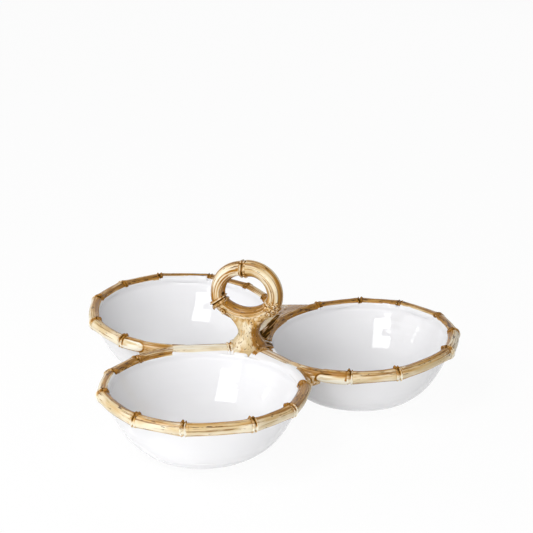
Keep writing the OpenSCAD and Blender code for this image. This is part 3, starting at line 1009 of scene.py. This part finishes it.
def divider_mark(side, p, spines, knots, seed):
    """(along, paint, brushed, umber) at p in the divider's own place, and how far it is raised."""
    near = min(spines, key=lambda m: hypot(m[1], m[2]))
    on_arm = smooth_step(p.x, FORK_START - 6, FORK_START + 4)
    wobble = noise.noise(p / WOBBLE_SIZE + Vector((seed, 0, 0)))
    streak = noise.noise(Vector((p.y / 1.3, p.z / 2, p.x / 15 + seed)))
    # the paint stops where the wall of a bowl begins, and where a bowl's glaze runs up
    inner_side = HOLE_R + 0.3 - min(m[2] + KNOT_RING_R for m in spines)
    paint = smooth_step(p.z + 1.2 * wobble, -0.2, 0.8) if inner_side > -EDGE_IN else 1.0
    paint *= bare_share(side, p, spines, knots[0])
    # umber lies round a pale face, on the edge, between the arms, beside the knots and in the web
    stub = STUBS.get(side)
    loop = loop_distance(spines[stub[0]], knots[stub[0]], stub) if stub else LOOP_FAR
    outline = peak(loop, *LOOP_LINE)
    edge = peak(inner_side, -EDGE_IN, 0.8) * smooth_step(p.z, -0.5, 1.5)
    groove = peak(p.y, 0, 0.7) * smooth_step(p.x, FORK_START + 2, FORK_START + 6) * (p.z > -4)
    from_knots = min(abs(m[0] - knot * KNOT_RING_R) for m, knot in zip(spines, knots))
    at_knot = peak(from_knots, KNOT_W / 2, 1.2) * (p.z > 0)
    valley = smooth_step(p.x, FORK_START - 2, FORK_START + 8) * smooth_step(loop, 1.1, 1.5)
    umber = max(0.35 * edge * (0.6 + 0.9 * wobble),
                groove * smooth_step(loop, 1, 1.3) * (0.7 + wobble),
                outline * (0.75 + 0.7 * wobble),
                at_knot * (0.4 + 0.9 * wobble),
                0.28 * valley * (0.6 + 1.8 * streak))
    # the brushing thins out low down, and runs as fibres along a pale face
    top = smooth_step(p.z, -1, 2.5)
    brushed = DIVIDER_DENSITIES[side] * (0.2 + 0.7 * top) + 0.5 * edge + 0.25 * valley
    if loop < 1.5:
        fibres = noise.noise(Vector((near[2] / 1.5, near[1] / 1.5, near[0] / 16 + seed)))
        brushed += (0.8 * fibres - 0.4) * smooth_step(loop, 1.05, 0.9) + 0.7 * outline
    # the left divider has a broad umber stroke on one side, and the back one has umber poured over
    # it, darkened further as painted shade behind the handle
    if side == "left" and on_arm < 0.5:
        umber = 0.8 * peak(p.y, -4.4, 2) * (0.8 + 0.7 * streak) if p.y < 2 else 0
        brushed = 0.35 * peak(p.y, 6.3, 0.8) - 0.15 + 0.3 * streak
    if side == "back" and on_arm < 0.9:
        umber = max(umber, back_umber_and_shade(p.x, p.y + 1.5 * wobble) * (0.9 + 1.7 * streak))
        brushed = brushed if p.y < -1 else 0.1
    across, lengthwise = (p.y, p.x) if on_arm < 0.5 else (near[2], near[0])
    along = (across, p.z, lengthwise + SEED_STEP * seed)
    return (along, paint, brushed, max(umber, 0)), LOOP_RISE * smooth_step(loop, 1.1, 0.9)


print("brushing of the dividers:", DIVIDER_DENSITIES)

# %% Dividers
CROTCH_GAP = 6


def make_divider(side):
    one, two = DIVIDERS[side]
    knots = radians(KNOT_ANGLES[one][-1]), radians(KNOT_ANGLES[two][0])
    past = (KNOT_W / 2 - TUCK) / KNOT_RING_R
    inner = DIVIDER_ANGLE + pi / 2 - asin(CROTCH_GAP / RIM_R)
    bm = divider_bar(DIVIDER_START - TUCK, *WEBS[side])
    bm.transform(divider_place(side))
    join_into(bm, fork_arm(knots[0] + past, inner), lobe_place(one))
    join_into(bm, fork_arm(-inner, knots[1] - past), lobe_place(two))
    if side in STUBS:
        rim, way, length, _ = STUBS[side]
        join_into(bm, stub_solid(knots[rim], way, length), lobe_place(DIVIDERS[side][rim]))
    bm = fused(bm, *DIVIDER_SKIN)
    bm.normal_update()
    back = divider_place(side).inverted()
    rims = [lobe_place(one).inverted(), lobe_place(two).inverted()]
    seed = 50.3 + 10 * list(DIVIDERS).index(side)
    marks = []
    for v in bm.verts:
        spines = [to_spine(v.co, rim) for rim in rims]
        mark, rise = divider_mark(side, back @ v.co, spines, knots, seed)
        marks.append(mark)
        v.co += rise * v.normal
    name = "divider_" + side
    finish_piece(name, bm, (CANE,), [name, "fork_" + side], marks)


for side in DIVIDERS:
    make_divider(side)

# %% [markdown]
# ### Divider knots
# The inner end of each divider has the same kind of knot, pulled out to the divider's width.
# It is made from the divider's own arch: a short slab whose top is raised by the knot's ridges.

# %% Divider knots
# umber over the whole of each divider knot: on the right and back knots, beside the stem's foot and away
# from the light, it is umber paint and painted shade, and the lit left knot has none
KNOT_UMBER_AND_SHADE = {"right": 0.4, "back": 0.9, "left": 0}
# the side on which the front bowl's white glaze runs up over the knot's end, and where
GLAZED_ENDS = {"right": -1, "left": 1}
GLAZED_FROM, GLAZED_FULL = 7.2, 8.8
END_DROP = 1.2
DIVIDER_BUD_H = 1.4
DIVIDER_KNOT_GRID = (24, 48)


def divider_knot(side, seed, pooled_and_shade):
    bm, low = clay_slab(*DIVIDER_KNOT_GRID)
    back, marks = KNOT_W / 2, []
    for v in bm.verts:
        u, w = v.co.x, v.co.y
        s = HUB_REACH + back * (1 + u)
        q = half_width(s, HOLE_R) * w
        swell = knot_height(u + 0.1 * sin(q), KNOT_PROUD, KNOT_CREASE) * (1 + 0.3 * wander(q, 0, seed, 3))
        bud = peak(s, HUB_REACH + back - 0.4, 1.5) * peak(q, -2, 1.7)
        top = CROWN - ARCH_R + sqrt(ARCH_R ** 2 - q * q) - END_DROP * smooth_step(abs(w), 0.8, 1.0)
        top += max(swell, -0.3) + DIVIDER_BUD_H * bud
        umber = max(peak(u, 0.12, 0.2) * (0.8 + wander(q, 0, seed + 2, 2)), 0.8 * bud)
        # this umber over the whole knot is partly painted shade, for the knots at the stem's right foot
        umber = max(umber, pooled_and_shade * (0.7 + 0.8 * wander(q, u, seed + 5, 2)))
        v.co = Vector((s, q, -WEB_DROP if v in low else top))
        paint = smooth_step(GLAZED_ENDS.get(side, 0) * q, GLAZED_FULL, GLAZED_FROM)
        along = (q, v.co.z, s + SEED_STEP * seed)
        marks.append((along, paint, DIVIDER_DENSITIES[side], max(umber, 0) * paint))
    turn_outwards(bm)
    return bm, marks


def make_divider_knots():
    whole, marks = bmesh.new(), []
    for i, side in enumerate(DIVIDERS):
        bm, knot_marks = divider_knot(side, 80.5 + 3 * i, KNOT_UMBER_AND_SHADE[side])
        join_into(whole, bm, divider_place(side))
        marks += knot_marks
    finish_piece("divider_knots", whole, (KNOT,), ["divider_knots"], marks)


make_divider_knots()

# %% [markdown]
# ## Hub, stem and the foot of the ring
# The hub fills the three-cornered gap between the bowls. The stem rises from it like the neck
# of a vase and spreads again under the ring, where it holds the ring's lowest stretch like a
# saddle. A cut side branch sticks out beside the left knot, with a dark eye in its face. The
# stem could be spun like a bowl, but its flare is wide and flat, so it is a stack of rings whose
# width, depth and corners change on the way up. All of it is fused, as the potter did.

# %% Ring as an oval of cane
RING_H = 48.7
RING_HALF_W, RING_HALF_H = 23.9, 19.1
RING_R = 6.4
RING_SHIFT = -1.5
# the knots and the middles of the canes between them, round the oval from the top
RING_SHARES = ((-0.09, 1), (-0.87, 0.49), (-0.98, -0.56), (-0.03, -1), (0.87, -0.51), (0.84, 0.62))
TOP_KNOT, LEFT_KNOT, RIGHT_KNOT = 0, 2, 4
RING_PLACE = AT_RIM_LEVEL @ Matrix.Translation((RING_SHIFT, 0, RING_H)) @ turned(pi / 2, "X")


def ring_point(shares):
    return Vector((RING_HALF_W * shares[0], RING_HALF_H * shares[1], 0))


def ring_spot(i):
    return ring_point(RING_SHARES[i % len(RING_SHARES)])


def ring_arc(i):
    """Centre, radius, first angle and swept angle of the arc from knot i to the next."""
    p, m, e = ring_spot(i), ring_spot(i + 1), ring_spot(i + 2)
    q, r = m - p, e - p
    turn_q, turn_r = Vector((q.y, -q.x, 0)), Vector((r.y, -r.x, 0))
    centre = p + (q.length_squared * turn_r - r.length_squared * turn_q) / (2 * (q.x * r.y - q.y * r.x))
    first = atan2(p.y - centre.y, p.x - centre.x)
    last = atan2(e.y - centre.y, e.x - centre.x)
    return centre, (p - centre).length, first, (last - first) % (2 * pi)


print("the ring's arcs have radii of", [round(ring_arc(i)[1], 1) for i in (TOP_KNOT, LEFT_KNOT, RIGHT_KNOT)])

# %% Hub
HUB_DROP = 20
HUB_SINK = 0.4
HUB_STEPS = 16


def hub_solid():
    """The three-cornered block between the openings, drawn up from its outline."""
    bm = bmesh.new()
    corners = []
    reach, hole_r = HUB_REACH + TUCK, HOLE_R + OVERLAP
    half = half_width(reach, hole_r)
    swing = atan2(reach * sin(DIVIDER_ANGLE) - half * cos(DIVIDER_ANGLE),
                  BOWL_OFFSET - reach * cos(DIVIDER_ANGLE) - half * sin(DIVIDER_ANGLE))
    for turn in TURNS.values():
        for i in range(HUB_STEPS + 1):
            a = -swing + 2 * swing * i / HUB_STEPS
            p = Vector((BOWL_OFFSET, 0, 0)) - Vector((cos(a), -sin(a), 0)) * hole_r
            corners.append(bm.verts.new(turned(turn) @ p))
    raised, _ = drawn_up(bm, [bm.faces.new(corners)])
    bmesh.ops.translate(bm, verts=raised, vec=(0, 0, HUB_DROP + CROWN - HUB_SINK))
    bmesh.ops.translate(bm, verts=bm.verts[:], vec=(0, 0, -HUB_DROP))
    turn_outwards(bm)
    return bm


print("the hub reaches", HUB_REACH, "mm from the handle's axis along each divider")

# %% Stem
WAIST_R, WAIST_H = 8.5, 16
STEM_ROOT = -2
STEM_FOOT_R, STEM_FOOT_H = 13, 3
STEM_STEPS = 16
STEM_AROUND = 64
ROUND = 2


def stacked_rings(rows):
    """A solid of rings of (half width, half depth, height, corner), drawn up one after another.
    A corner of 2 gives an ellipse, and more gives a squarer ring."""
    bm = bmesh.new()
    bmesh.ops.create_circle(bm, cap_ends=True, radius=1, segments=STEM_AROUND)
    level, rings = bm.faces[:], [bm.verts[:]]
    for _ in rows[1:]:
        ring, level = drawn_up(bm, level)
        rings.append(ring)
    for ring, (width, depth, height, corner) in zip(rings, rows):
        for v in ring:
            x, y = (copysign(abs(c) ** (2 / corner), c) for c in (v.co.x, v.co.y))
            v.co = Vector((width * x, depth * y, height))
    turn_outwards(bm)
    return bm


def widened(share, r):
    return WAIST_R + (r - WAIST_R) * share ** 2


def stem_rows():
    rows = [(STEM_FOOT_R, STEM_FOOT_R, STEM_ROOT, ROUND)]
    for i in range(STEM_STEPS + 1):
        share = 1 - i / STEM_STEPS
        r = widened(share, STEM_FOOT_R)
        rows.append((r, r, WAIST_H - (WAIST_H - CROWN - STEM_FOOT_H) * share, ROUND))
    return rows


print("the stem is", 2 * WAIST_R, "mm thick at its waist,", WAIST_H, "mm above the rims")

# %% Flare
FLARE_R, FLARE_H = 21, 14.5
FLARE_SINK = 0.01
SQUARER = 5
SADDLE_CENTRE, SADDLE_R, _, _ = ring_arc(LEFT_KNOT)


def flare_solid():
    """The flare, whose top follows the ring's lowest arc, so that its face is flush with it."""
    rows = []
    for i in range(STEM_STEPS + 1):
        share = i / STEM_STEPS
        depth = WAIST_R + (RING_R - WAIST_R) * share
        corner = ROUND + (SQUARER - ROUND) * share
        rows.append((widened(share, FLARE_R), depth, WAIST_H - FLARE_SINK + FLARE_H * share, corner))
    bm = stacked_rings(rows)
    for v in bm.verts:
        share = (v.co.z - WAIST_H) / FLARE_H
        across = v.co.x - RING_SHIFT - SADDLE_CENTRE.x
        spine = RING_H + SADDLE_CENTRE.y - sqrt(SADDLE_R ** 2 - across ** 2)
        v.co.z += (spine - WAIST_H - FLARE_H) * share ** 2
    return bm


print("the flare is", 2 * FLARE_R, "mm wide under the ring")

# %% Saddle and cut branch
RING_KNOT_W = 6
BRANCH_SHARES, BRANCH_ANGLE = (-0.67, -0.78), radians(222)
BRANCH_R, BRANCH_L, BRANCH_LEAN = 2.7, 9.5, radians(12)
BRANCH_TAPER = 0.95
BRANCH_EDGE, BRANCH_DISH = 0.4, 1.0
BRANCH_PLACE = (RING_PLACE @ Matrix.Translation(ring_point(BRANCH_SHARES)) @ turned(BRANCH_ANGLE)
                @ turned(BRANCH_LEAN, "Y"))


def ring_tube(i, r, step, around):
    """The cane from ring knot i to the next, with its centre, radius and end angles."""
    centre, radius, first, sweep = ring_arc(i)
    cut = (RING_KNOT_W / 2 - TUCK) / radius
    low, high = first + cut, first + sweep - cut
    bm = bent_tube(radius, r, 0, high - low, step, around)
    return bm, centre, radius, low, high


def branch_solid():
    """A short cone with a dished face."""
    bm = bmesh.new()
    bmesh.ops.create_cone(bm, cap_ends=True, segments=ARM_AROUND, radius1=BRANCH_R,
                          radius2=BRANCH_R * BRANCH_TAPER, depth=BRANCH_L)
    bmesh.ops.translate(bm, verts=bm.verts[:], vec=(0, 0, BRANCH_L / 2))
    face = [f for f in bm.faces if f.calc_center_median().z > BRANCH_L - 0.01]
    bmesh.ops.inset_region(bm, faces=face, thickness=BRANCH_R * BRANCH_EDGE, depth=-BRANCH_DISH)
    return bm


print("the cut branch is", BRANCH_L, "mm long and", 2 * BRANCH_R, "mm thick")

# %% [markdown]
# The stem is nearly plain cream, with ochre washed over its right side and umber over it as
# painted shade, away from the light, and umber strokes of painted shade at its foot on the right.
# The ring's lowest arc has ochre on the inside, like the rest of the ring.
# The marks come from the place of each vertex, as the fused skin has no rows to count along.

# %% Paint of the handle's body
LOBES_BACK = [lobe_place(rim).inverted() for rim in RIMS]
FRONT = RIMS.index("front")
# the direction of the stem's right side, where ochre and umber are painted as shade, of the
# painted shade at its foot, and their half widths
PAINTED_SHADE_SIDE, PAINTED_SHADE_FOOT = (radians(-8), radians(62)), (radians(3), radians(56))
BRANCH_BRUSHED = 0.5
STEM_GRAIN = 9
STEM_SEED = 900


def share_facing(angle, middle, half):
    """1 at the angle middle, and 0 where it is half away or more. All in radians."""
    away = abs((angle - middle + pi) % (2 * pi) - pi)
    return smooth_step(away, half, half / 2)


def stem_mark(p, ring, radius, wobble):
    """(along, brushed, umber) on the stem, the flare and the ring's lowest arc."""
    out = hypot(ring.x, ring.y) - radius
    direction = atan2(p.y, p.x)
    # on the ring's arc the streaks follow the ring, with ochre inside and a line where it ends
    if out < 1.2 and p.z > WAIST_H + 6:
        lip = smooth_step(out, -1.0, -3.2)
        along = (out, ring.z, atan2(ring.y, ring.x) * radius)
        return along, 0.45 + 0.6 * lip, 0.3 * peak(out, 0.7, 0.6) * (0.7 + wobble)
    # below it they follow the stem, cream but for the painted shade on its right side and at its foot
    painted_shade = share_facing(direction, *PAINTED_SHADE_SIDE) * smooth_step(p.z, 27, 20) * smooth_step(p.z, 5, 9)
    streak = noise.noise(Vector((direction * 5, p.z / 14, 7.3)))
    # umber strokes at the stem's foot on the right stand for the shade where it meets the hub
    foot = smooth_step(p.z, 9, 6) * share_facing(direction, *PAINTED_SHADE_FOOT)
    brushed = 0.12 + painted_shade * (0.95 + 0.8 * streak) + 0.7 * foot + 0.3 * smooth_step(p.z, 22, 28)
    umber = painted_shade * (0.15 + 0.7 * streak) + foot * (0.35 + 1.6 * wobble)
    return (STEM_GRAIN * direction, p.z / 3, 1.4 * p.z + STEM_SEED), brushed, umber


def branch_umber(from_axis, height):
    """Umber in the eye of the cut branch, round its face and where it leaves the stem."""
    return max(0.8 * smooth_step(from_axis, 1.3, 0.6) * (height > BRANCH_L - 2.2),
               peak(from_axis, BRANCH_R, 0.6) * (height > BRANCH_L - 1.8),
               0.6 * smooth_step(height, 6.5, 4.5))


print("the stem's brown side is", round(degrees(2 * PAINTED_SHADE_SIDE[1])), "degrees wide")

# %% Fuse the handle's body
SADDLE_AROUND = 36
EDGE_ROUND = 1.6


def make_handle():
    bm = bmesh.new()
    for solid in (hub_solid(), stacked_rings(stem_rows()), flare_solid()):
        join_into(bm, solid, AT_RIM_LEVEL)
    tube, centre, radius, low, _ = ring_tube(LEFT_KNOT, RING_R, ARM_STEP, SADDLE_AROUND)
    join_into(bm, tube, RING_PLACE @ Matrix.Translation(centre) @ turned(low))
    join_into(bm, branch_solid(), BRANCH_PLACE)
    bm = fused(bm, *HANDLE_SKIN)
    into_ring = (RING_PLACE @ Matrix.Translation(centre)).inverted()
    into_branch = BRANCH_PLACE.inverted()
    marks = []
    for v in bm.verts:
        p = v.co - AT_RIM_LEVEL.translation
        wobble = noise.noise(v.co / 4)
        along, brushed, umber = stem_mark(p, into_ring @ v.co, radius, wobble)
        eye = into_branch @ v.co
        from_axis = hypot(eye.x, eye.y)
        if from_axis < BRANCH_R + 1 and eye.z > 4:
            brushed, umber = BRANCH_BRUSHED, branch_umber(from_axis, eye.z)
        inner = HOLE_R + 0.4 - min((lobe @ v.co).xy.length for lobe in LOBES_BACK)
        paint = smooth_step(p.z + 0.8 * wobble, 0.2, 1.2) if inner > -1.0 else 1.0
        if p.z > 0 and inner > -4:
            v.co.z -= EDGE_ROUND * smooth_step(inner, -4, 0) * smooth_step(p.z, 6, 3)
        to_front = HOLE_R - (LOBES_BACK[FRONT] @ v.co).xy.length
        paint *= smooth_step(to_front, -1.5, -3.5) if p.z < 6 else 1
        marks.append((along, paint, brushed, max(umber, 0)))
    nodes = ["hub", "handle_stem", "ring_saddle"]
    finish_piece("handle_body", bm, (CANE,), nodes, marks)


make_handle()

# %% [markdown]
# ## Ring canes and ring knots
# The ring is thicker than the rims and closes the oval with two bent lengths. The left one has
# deep streaks and ochre on its inside, and the right one is thicker and smoother. The right
# knot is a cluster of small balls of clay, pressed on like a flower. The left one is a sharp
# double ridge on a collar, and the top one has a dark split. The canes and knots are pressed
# tubes again, and the balls are flattened spheres, whose seams are there on the real knot too.

# %% Ring canes
RING_STEP = 1.0
RING_AROUND = 56
RING_LEFT_R = 5.7
RING_FLUTE_FINE, RING_FLUTE_L = 2.6, 50
RING_STREAK_FINE, RING_STREAK_L = 6.5, 24
RING_WANDER_H, RING_WANDER_L = 0.2, 18
RING_SWELL_H, RING_SWELL_L = 0.3, 4
# the middle and width, in radians, of the ochre on the ring's inside and outside
INSIDE, OUTSIDE = (pi, 0.75), (0.35, 0.5)


def ring_cane_surface(seed, r0, length, depth):
    """A fluted cane with ochre on its inside and outside and umber in its streaks and ends."""
    def surface(s, phi):
        to_end = min(s, length - s)
        flutes = depth * grain(s, phi, RING_FLUTE_FINE, RING_FLUTE_L, seed)
        r = r0 + flutes + RING_WANDER_H * wander(s, phi, seed, RING_WANDER_L)
        r += RING_SWELL_H * peak(max(to_end, 0), 0, RING_SWELL_L)
        facing_in = peak(abs(phi), *INSIDE)
        facing_out = peak(phi, *OUTSIDE)
        streak = grain(s, phi, RING_STREAK_FINE, RING_STREAK_L, -seed)
        brushed = 0.36 - 0.12 * depth + 0.7 * facing_in + 0.6 * facing_out - 1.2 * flutes + 0.6 * streak
        umber = max(0.75 * depth * facing_in * (1 + wander(s, phi, seed + 2, 12)),
                    (0.2 + 0.4 * depth + 0.25 * facing_out) * smooth_step(streak, 0.14, 0.34),
                    peak(to_end, 0, 1.2) * (0.25 + 0.9 * wander(s, phi, seed + 3, 2)), 0)
        return r, (place_in_cane(s, phi, r, seed), 1.0, brushed, umber)
    return surface


def make_ring_cane(name, i, r, seed, depth):
    """depth is that of the flutes, in millimetres. A deeper one holds more umber."""
    tube, centre, radius, low, high = ring_tube(i, r, RING_STEP, RING_AROUND)
    half = (high - low) / 2
    tube.transform(turned(-half))
    surface = ring_cane_surface(seed, r, radius * 2 * half, depth)
    marks = press_clay(tube, radius, lambda s, phi: surface(s + half * radius, phi))
    tube.transform(RING_PLACE @ Matrix.Translation(centre) @ turned(low + half))
    finish_piece(name, tube, (CANE,), [name], marks)


make_ring_cane("ring_cane_left", TOP_KNOT, RING_LEFT_R, 91.2, 0.7)
make_ring_cane("ring_cane_right", RIGHT_KNOT, RING_R, 95.6, 0.25)

# %% Balls of clay
BALL_FLATNESS = 0.6
BALL_RISE = 0.1
BALL_SAG = 0.012
BALL_AROUND, BALL_ROWS = 20, 12
BALL_CREASE, BALL_EYE = (0.25, 0.35), (0.1, 0.25)
BALL_BRUSHED = 0.35


def bud_ball(size, dark):
    """A small pressed ball of clay, with umber in the crease round it and a pale top."""
    bm = bmesh.new()
    bmesh.ops.create_uvsphere(bm, u_segments=BALL_AROUND, v_segments=BALL_ROWS, radius=size)
    marks = []
    for v in bm.verts:
        height = v.co.z / size
        v.co.z *= BALL_FLATNESS
        out = hypot(v.co.x, v.co.y) / size
        wobble = noise.noise(v.co + Vector((size * 40, 0, 0)))
        crease = peak(height, *BALL_CREASE) * (0.7 + 1.2 * wobble)
        eye = 0.55 * peak(out, *BALL_EYE) * (height > 0)
        along = (v.co.x, v.co.y, v.co.z + 300 * size)
        marks.append((along, 1.0, BALL_BRUSHED + dark, max(crease, eye, dark)))
    return bm, marks


print("a ball is pressed to", BALL_FLATNESS, "of its height")

# %% Ring knots
COLLAR_R = 7.2
RING_KNOT_PROUD = 1.1
RING_KNOT_AROUND = 72
STRAIGHT_R = 400
TOP_BAND, TOP_SQUASH = 1, 0.7
# the balls of the right knot: angle in degrees, place along the cane, size and darkness
CLUSTER = (
    (92, 0.2, 2.3, 0), (58, 0.8, 2.1, 0), (24, 0.4, 2.1, 0.1), (74, -3.6, 1.9, 0), (110, -2.6, 1.7, 0.2),
    (40, -3.4, 1.7, 0), (78, 4.2, 2.0, 0), (112, 3.6, 1.8, 0.1), (44, 4.6, 1.8, 0), (8, 3.4, 1.7, 0.3),
    (134, 0.4, 1.7, 0.3), (100, 7.0, 1.5, 0.2), (62, 7.6, 1.5, 0))


def ring_knot_place(i):
    """The cross-section of the cane at knot i, with the cane along Y and X outwards."""
    run = ring_spot(i + 1) - ring_spot(i - 1)
    return RING_PLACE @ Matrix.Translation(ring_spot(i)) @ turned(atan2(run.y, run.x) - pi / 2)


def squash_top(bm):
    """Presses the last millimetre down a little, so that the ridge stays inside the CAD box."""
    shoulder = cad_box[1][2] / MM - TOP_BAND
    for v in bm.verts:
        if v.co.z > shoulder:
            v.co.z = shoulder + TOP_SQUASH * (v.co.z - shoulder)


def make_ring_knot(name, i, r, buds, balls, seed, crease, way):
    """buds has an (angle, s, size) for each bud, and balls an (angle, s, size, darkness) for each
    ball of clay on the knot or beside it. The arc is so wide that the knot is all but straight."""
    half = RING_KNOT_W / 2 / STRAIGHT_R
    bm = bent_tube(STRAIGHT_R, r, -half, half, KNOT_STEP, RING_KNOT_AROUND)
    buds = [(radians(angle), s, size) for angle, s, size in buds]
    marks = press_clay(bm, STRAIGHT_R, knot_surface(
        seed, RING_KNOT_W / 2, r, RING_KNOT_PROUD, crease, buds, way, lambda s, phi, seed: (1.0, 0.6)))
    for angle, s, size, dark in balls:
        ball, ball_marks = bud_ball(size, dark)
        rise = BALL_RISE * size - BALL_SAG * s * s
        spot = Matrix.Translation((STRAIGHT_R, s, 0)) @ turned(-radians(angle), "Y")
        join_into(bm, ball, spot @ Matrix.Translation((r + rise, 0, 0)) @ turned(pi / 2, "Y"))
        marks += ball_marks
    bm.transform(ring_knot_place(i) @ Matrix.Translation((-STRAIGHT_R, 0, 0)))
    squash_top(bm)
    finish_piece(name, bm, (KNOT,), [name], marks)


make_ring_knot("ring_knot_top", TOP_KNOT, RING_R, [(20, 0.4, 1.9)], [(116, -2.4, 1.1, 0.3)], 101.3, 1.3, 1)
make_ring_knot("ring_knot_left", LEFT_KNOT, COLLAR_R, [(150, -0.8, 1.3)],
               [(165, -5.0, 2.2, 0.9), (150, 4.2, 1.8, 0.5), (20, 2.6, 1.5, 0.2)], 105.8, 1.2, -1)
make_ring_knot("ring_knot_right", RIGHT_KNOT, RING_R, [], CLUSTER, 109.4, 0.8, 1)

# %% [markdown]
# ## Floor and light
# The floor is plain and pale and takes the object's shadow. Towards the camera it is drawn
# nearly white, through Light Path, so that no lamp has to be strong enough to bleach it. A tall
# window with a crossbar stands up and to the left of the camera. It is what shows as a bright
# notched rectangle in each bowl. Broad, dim panels stand for the pale walls of the room.

# %% Floor
FLOOR_HALF = 3
FLOOR_SEEN = 0.95


def seen_rays(tree):
    """1 for rays from the camera and for those that a glossy or clear surface sends on."""
    path = add_node(tree, "ShaderNodeLightPath")
    seen = path.outputs["Is Camera Ray"]
    for kind in ("Is Glossy Ray", "Is Transmission Ray"):
        both = add_node(tree, "ShaderNodeMath", {0: seen, 1: path.outputs[kind]}, operation="MAXIMUM")
        seen = both.outputs[0]
    return seen


def make_floor():
    bm = bmesh.new()
    bmesh.ops.create_grid(bm, x_segments=2, y_segments=2, size=FLOOR_HALF)
    floor = add_object("floor", mesh_of(bm, "floor"))
    material, tree = new_material("white_paper")
    matt = add_node(tree, "ShaderNodeBsdfDiffuse", {"Color": linear("#f8f8f8")})
    plain = add_node(tree, "ShaderNodeEmission", {"Color": linear("#ffffff"), "Strength": 1})
    seen = add_node(tree, "ShaderNodeMath", {0: seen_rays(tree), 1: FLOOR_SEEN}, operation="MULTIPLY")
    mixed = add_node(tree, "ShaderNodeMixShader",
                     {0: seen.outputs[0], 1: matt.outputs[0], 2: plain.outputs[0]})
    add_node(tree, "ShaderNodeOutputMaterial", {"Surface": mixed.outputs[0]})
    floor.data.materials.append(material)
    print("the floor is", 2 * FLOOR_HALF, "m wide")


make_floor()

# %% Window and walls
LIGHT_CENTRE = AT_RIM_LEVEL.translation * MM
# azimuth and elevation in degrees, and distance in metres
WINDOW = (-23.6, 51.4, 1.0)
WINDOW_LEAN = 25.6
WINDOW_RADIANCE = 6.5
# each pane's place in the window, to the side and up, and its width and height in metres
PANES = {"tall": (0.105, 0, 0.2, 0.72), "low": (-0.1, -0.235, 0.21, 0.25), "high": (-0.1, 0.155, 0.21, 0.41)}
# azimuth, elevation, distance, width, height and radiance
PANELS = {
    "wall_left": (-65, 38, 1.5, 1.5, 1.2, 0.65),
    "wall_front": (12, 9, 1.4, 2.0, 0.7, 2.25),
    "wall_right": (62, 10, 1.5, 1.4, 0.7, 0.65),
    "wall_back": (185, 22, 1.6, 1.8, 1.0, 0.3),
    "far_window": (-79, 26, 1.0, 0.1, 0.14, 4.0),
}


def softbox(name, azimuth, elevation, distance, width, height, radiance, lean=0, x=0, y=0):
    """A lamp that faces the object. Its radiance is what a mirror would show of it."""
    data = bpy.data.lights.new(name, "AREA")
    data.shape, data.size, data.size_y = "RECTANGLE", width, height
    data.energy = radiance * pi * width * height
    away = direction_to(radians(azimuth), radians(elevation))
    aim = away.to_track_quat("Z", "Y").to_matrix().to_4x4() @ turned(radians(lean))
    place = Matrix.Translation(LIGHT_CENTRE + away * distance) @ aim @ Matrix.Translation((x, y, 0))
    add_object(name, data).matrix_world = place


for pane, (x, y, width, height) in PANES.items():
    softbox("window_" + pane, *WINDOW, width, height, WINDOW_RADIANCE, WINDOW_LEAN, x, y)
for name, numbers in PANELS.items():
    softbox(name, *numbers)
print("lamps:", [lamp.name for lamp in bpy.data.lights])

# %% Room
ROOM_LIGHT = 0.25


def make_room():
    world = bpy.data.worlds.new("room")
    bpy.context.scene.world = world
    world.use_nodes = True
    tree = world.node_tree
    tree.nodes.clear()
    lit = add_node(tree, "ShaderNodeBackground", {"Color": linear("#ffffff"), "Strength": ROOM_LIGHT})
    shown = add_node(tree, "ShaderNodeBackground", {"Color": linear("#ffffff"), "Strength": 1})
    mixed = add_node(tree, "ShaderNodeMixShader",
                     {0: seen_rays(tree), 1: lit.outputs[0], 2: shown.outputs[0]})
    add_node(tree, "ShaderNodeOutputWorld", {"Surface": mixed.outputs[0]})


make_room()
bpy.context.scene.view_settings.view_transform = "Standard"
print("room light:", ROOM_LIGHT)

# %% Sizes and finish
print("cad box:", [[round(x, 4) for x in c] for c in cad_box])
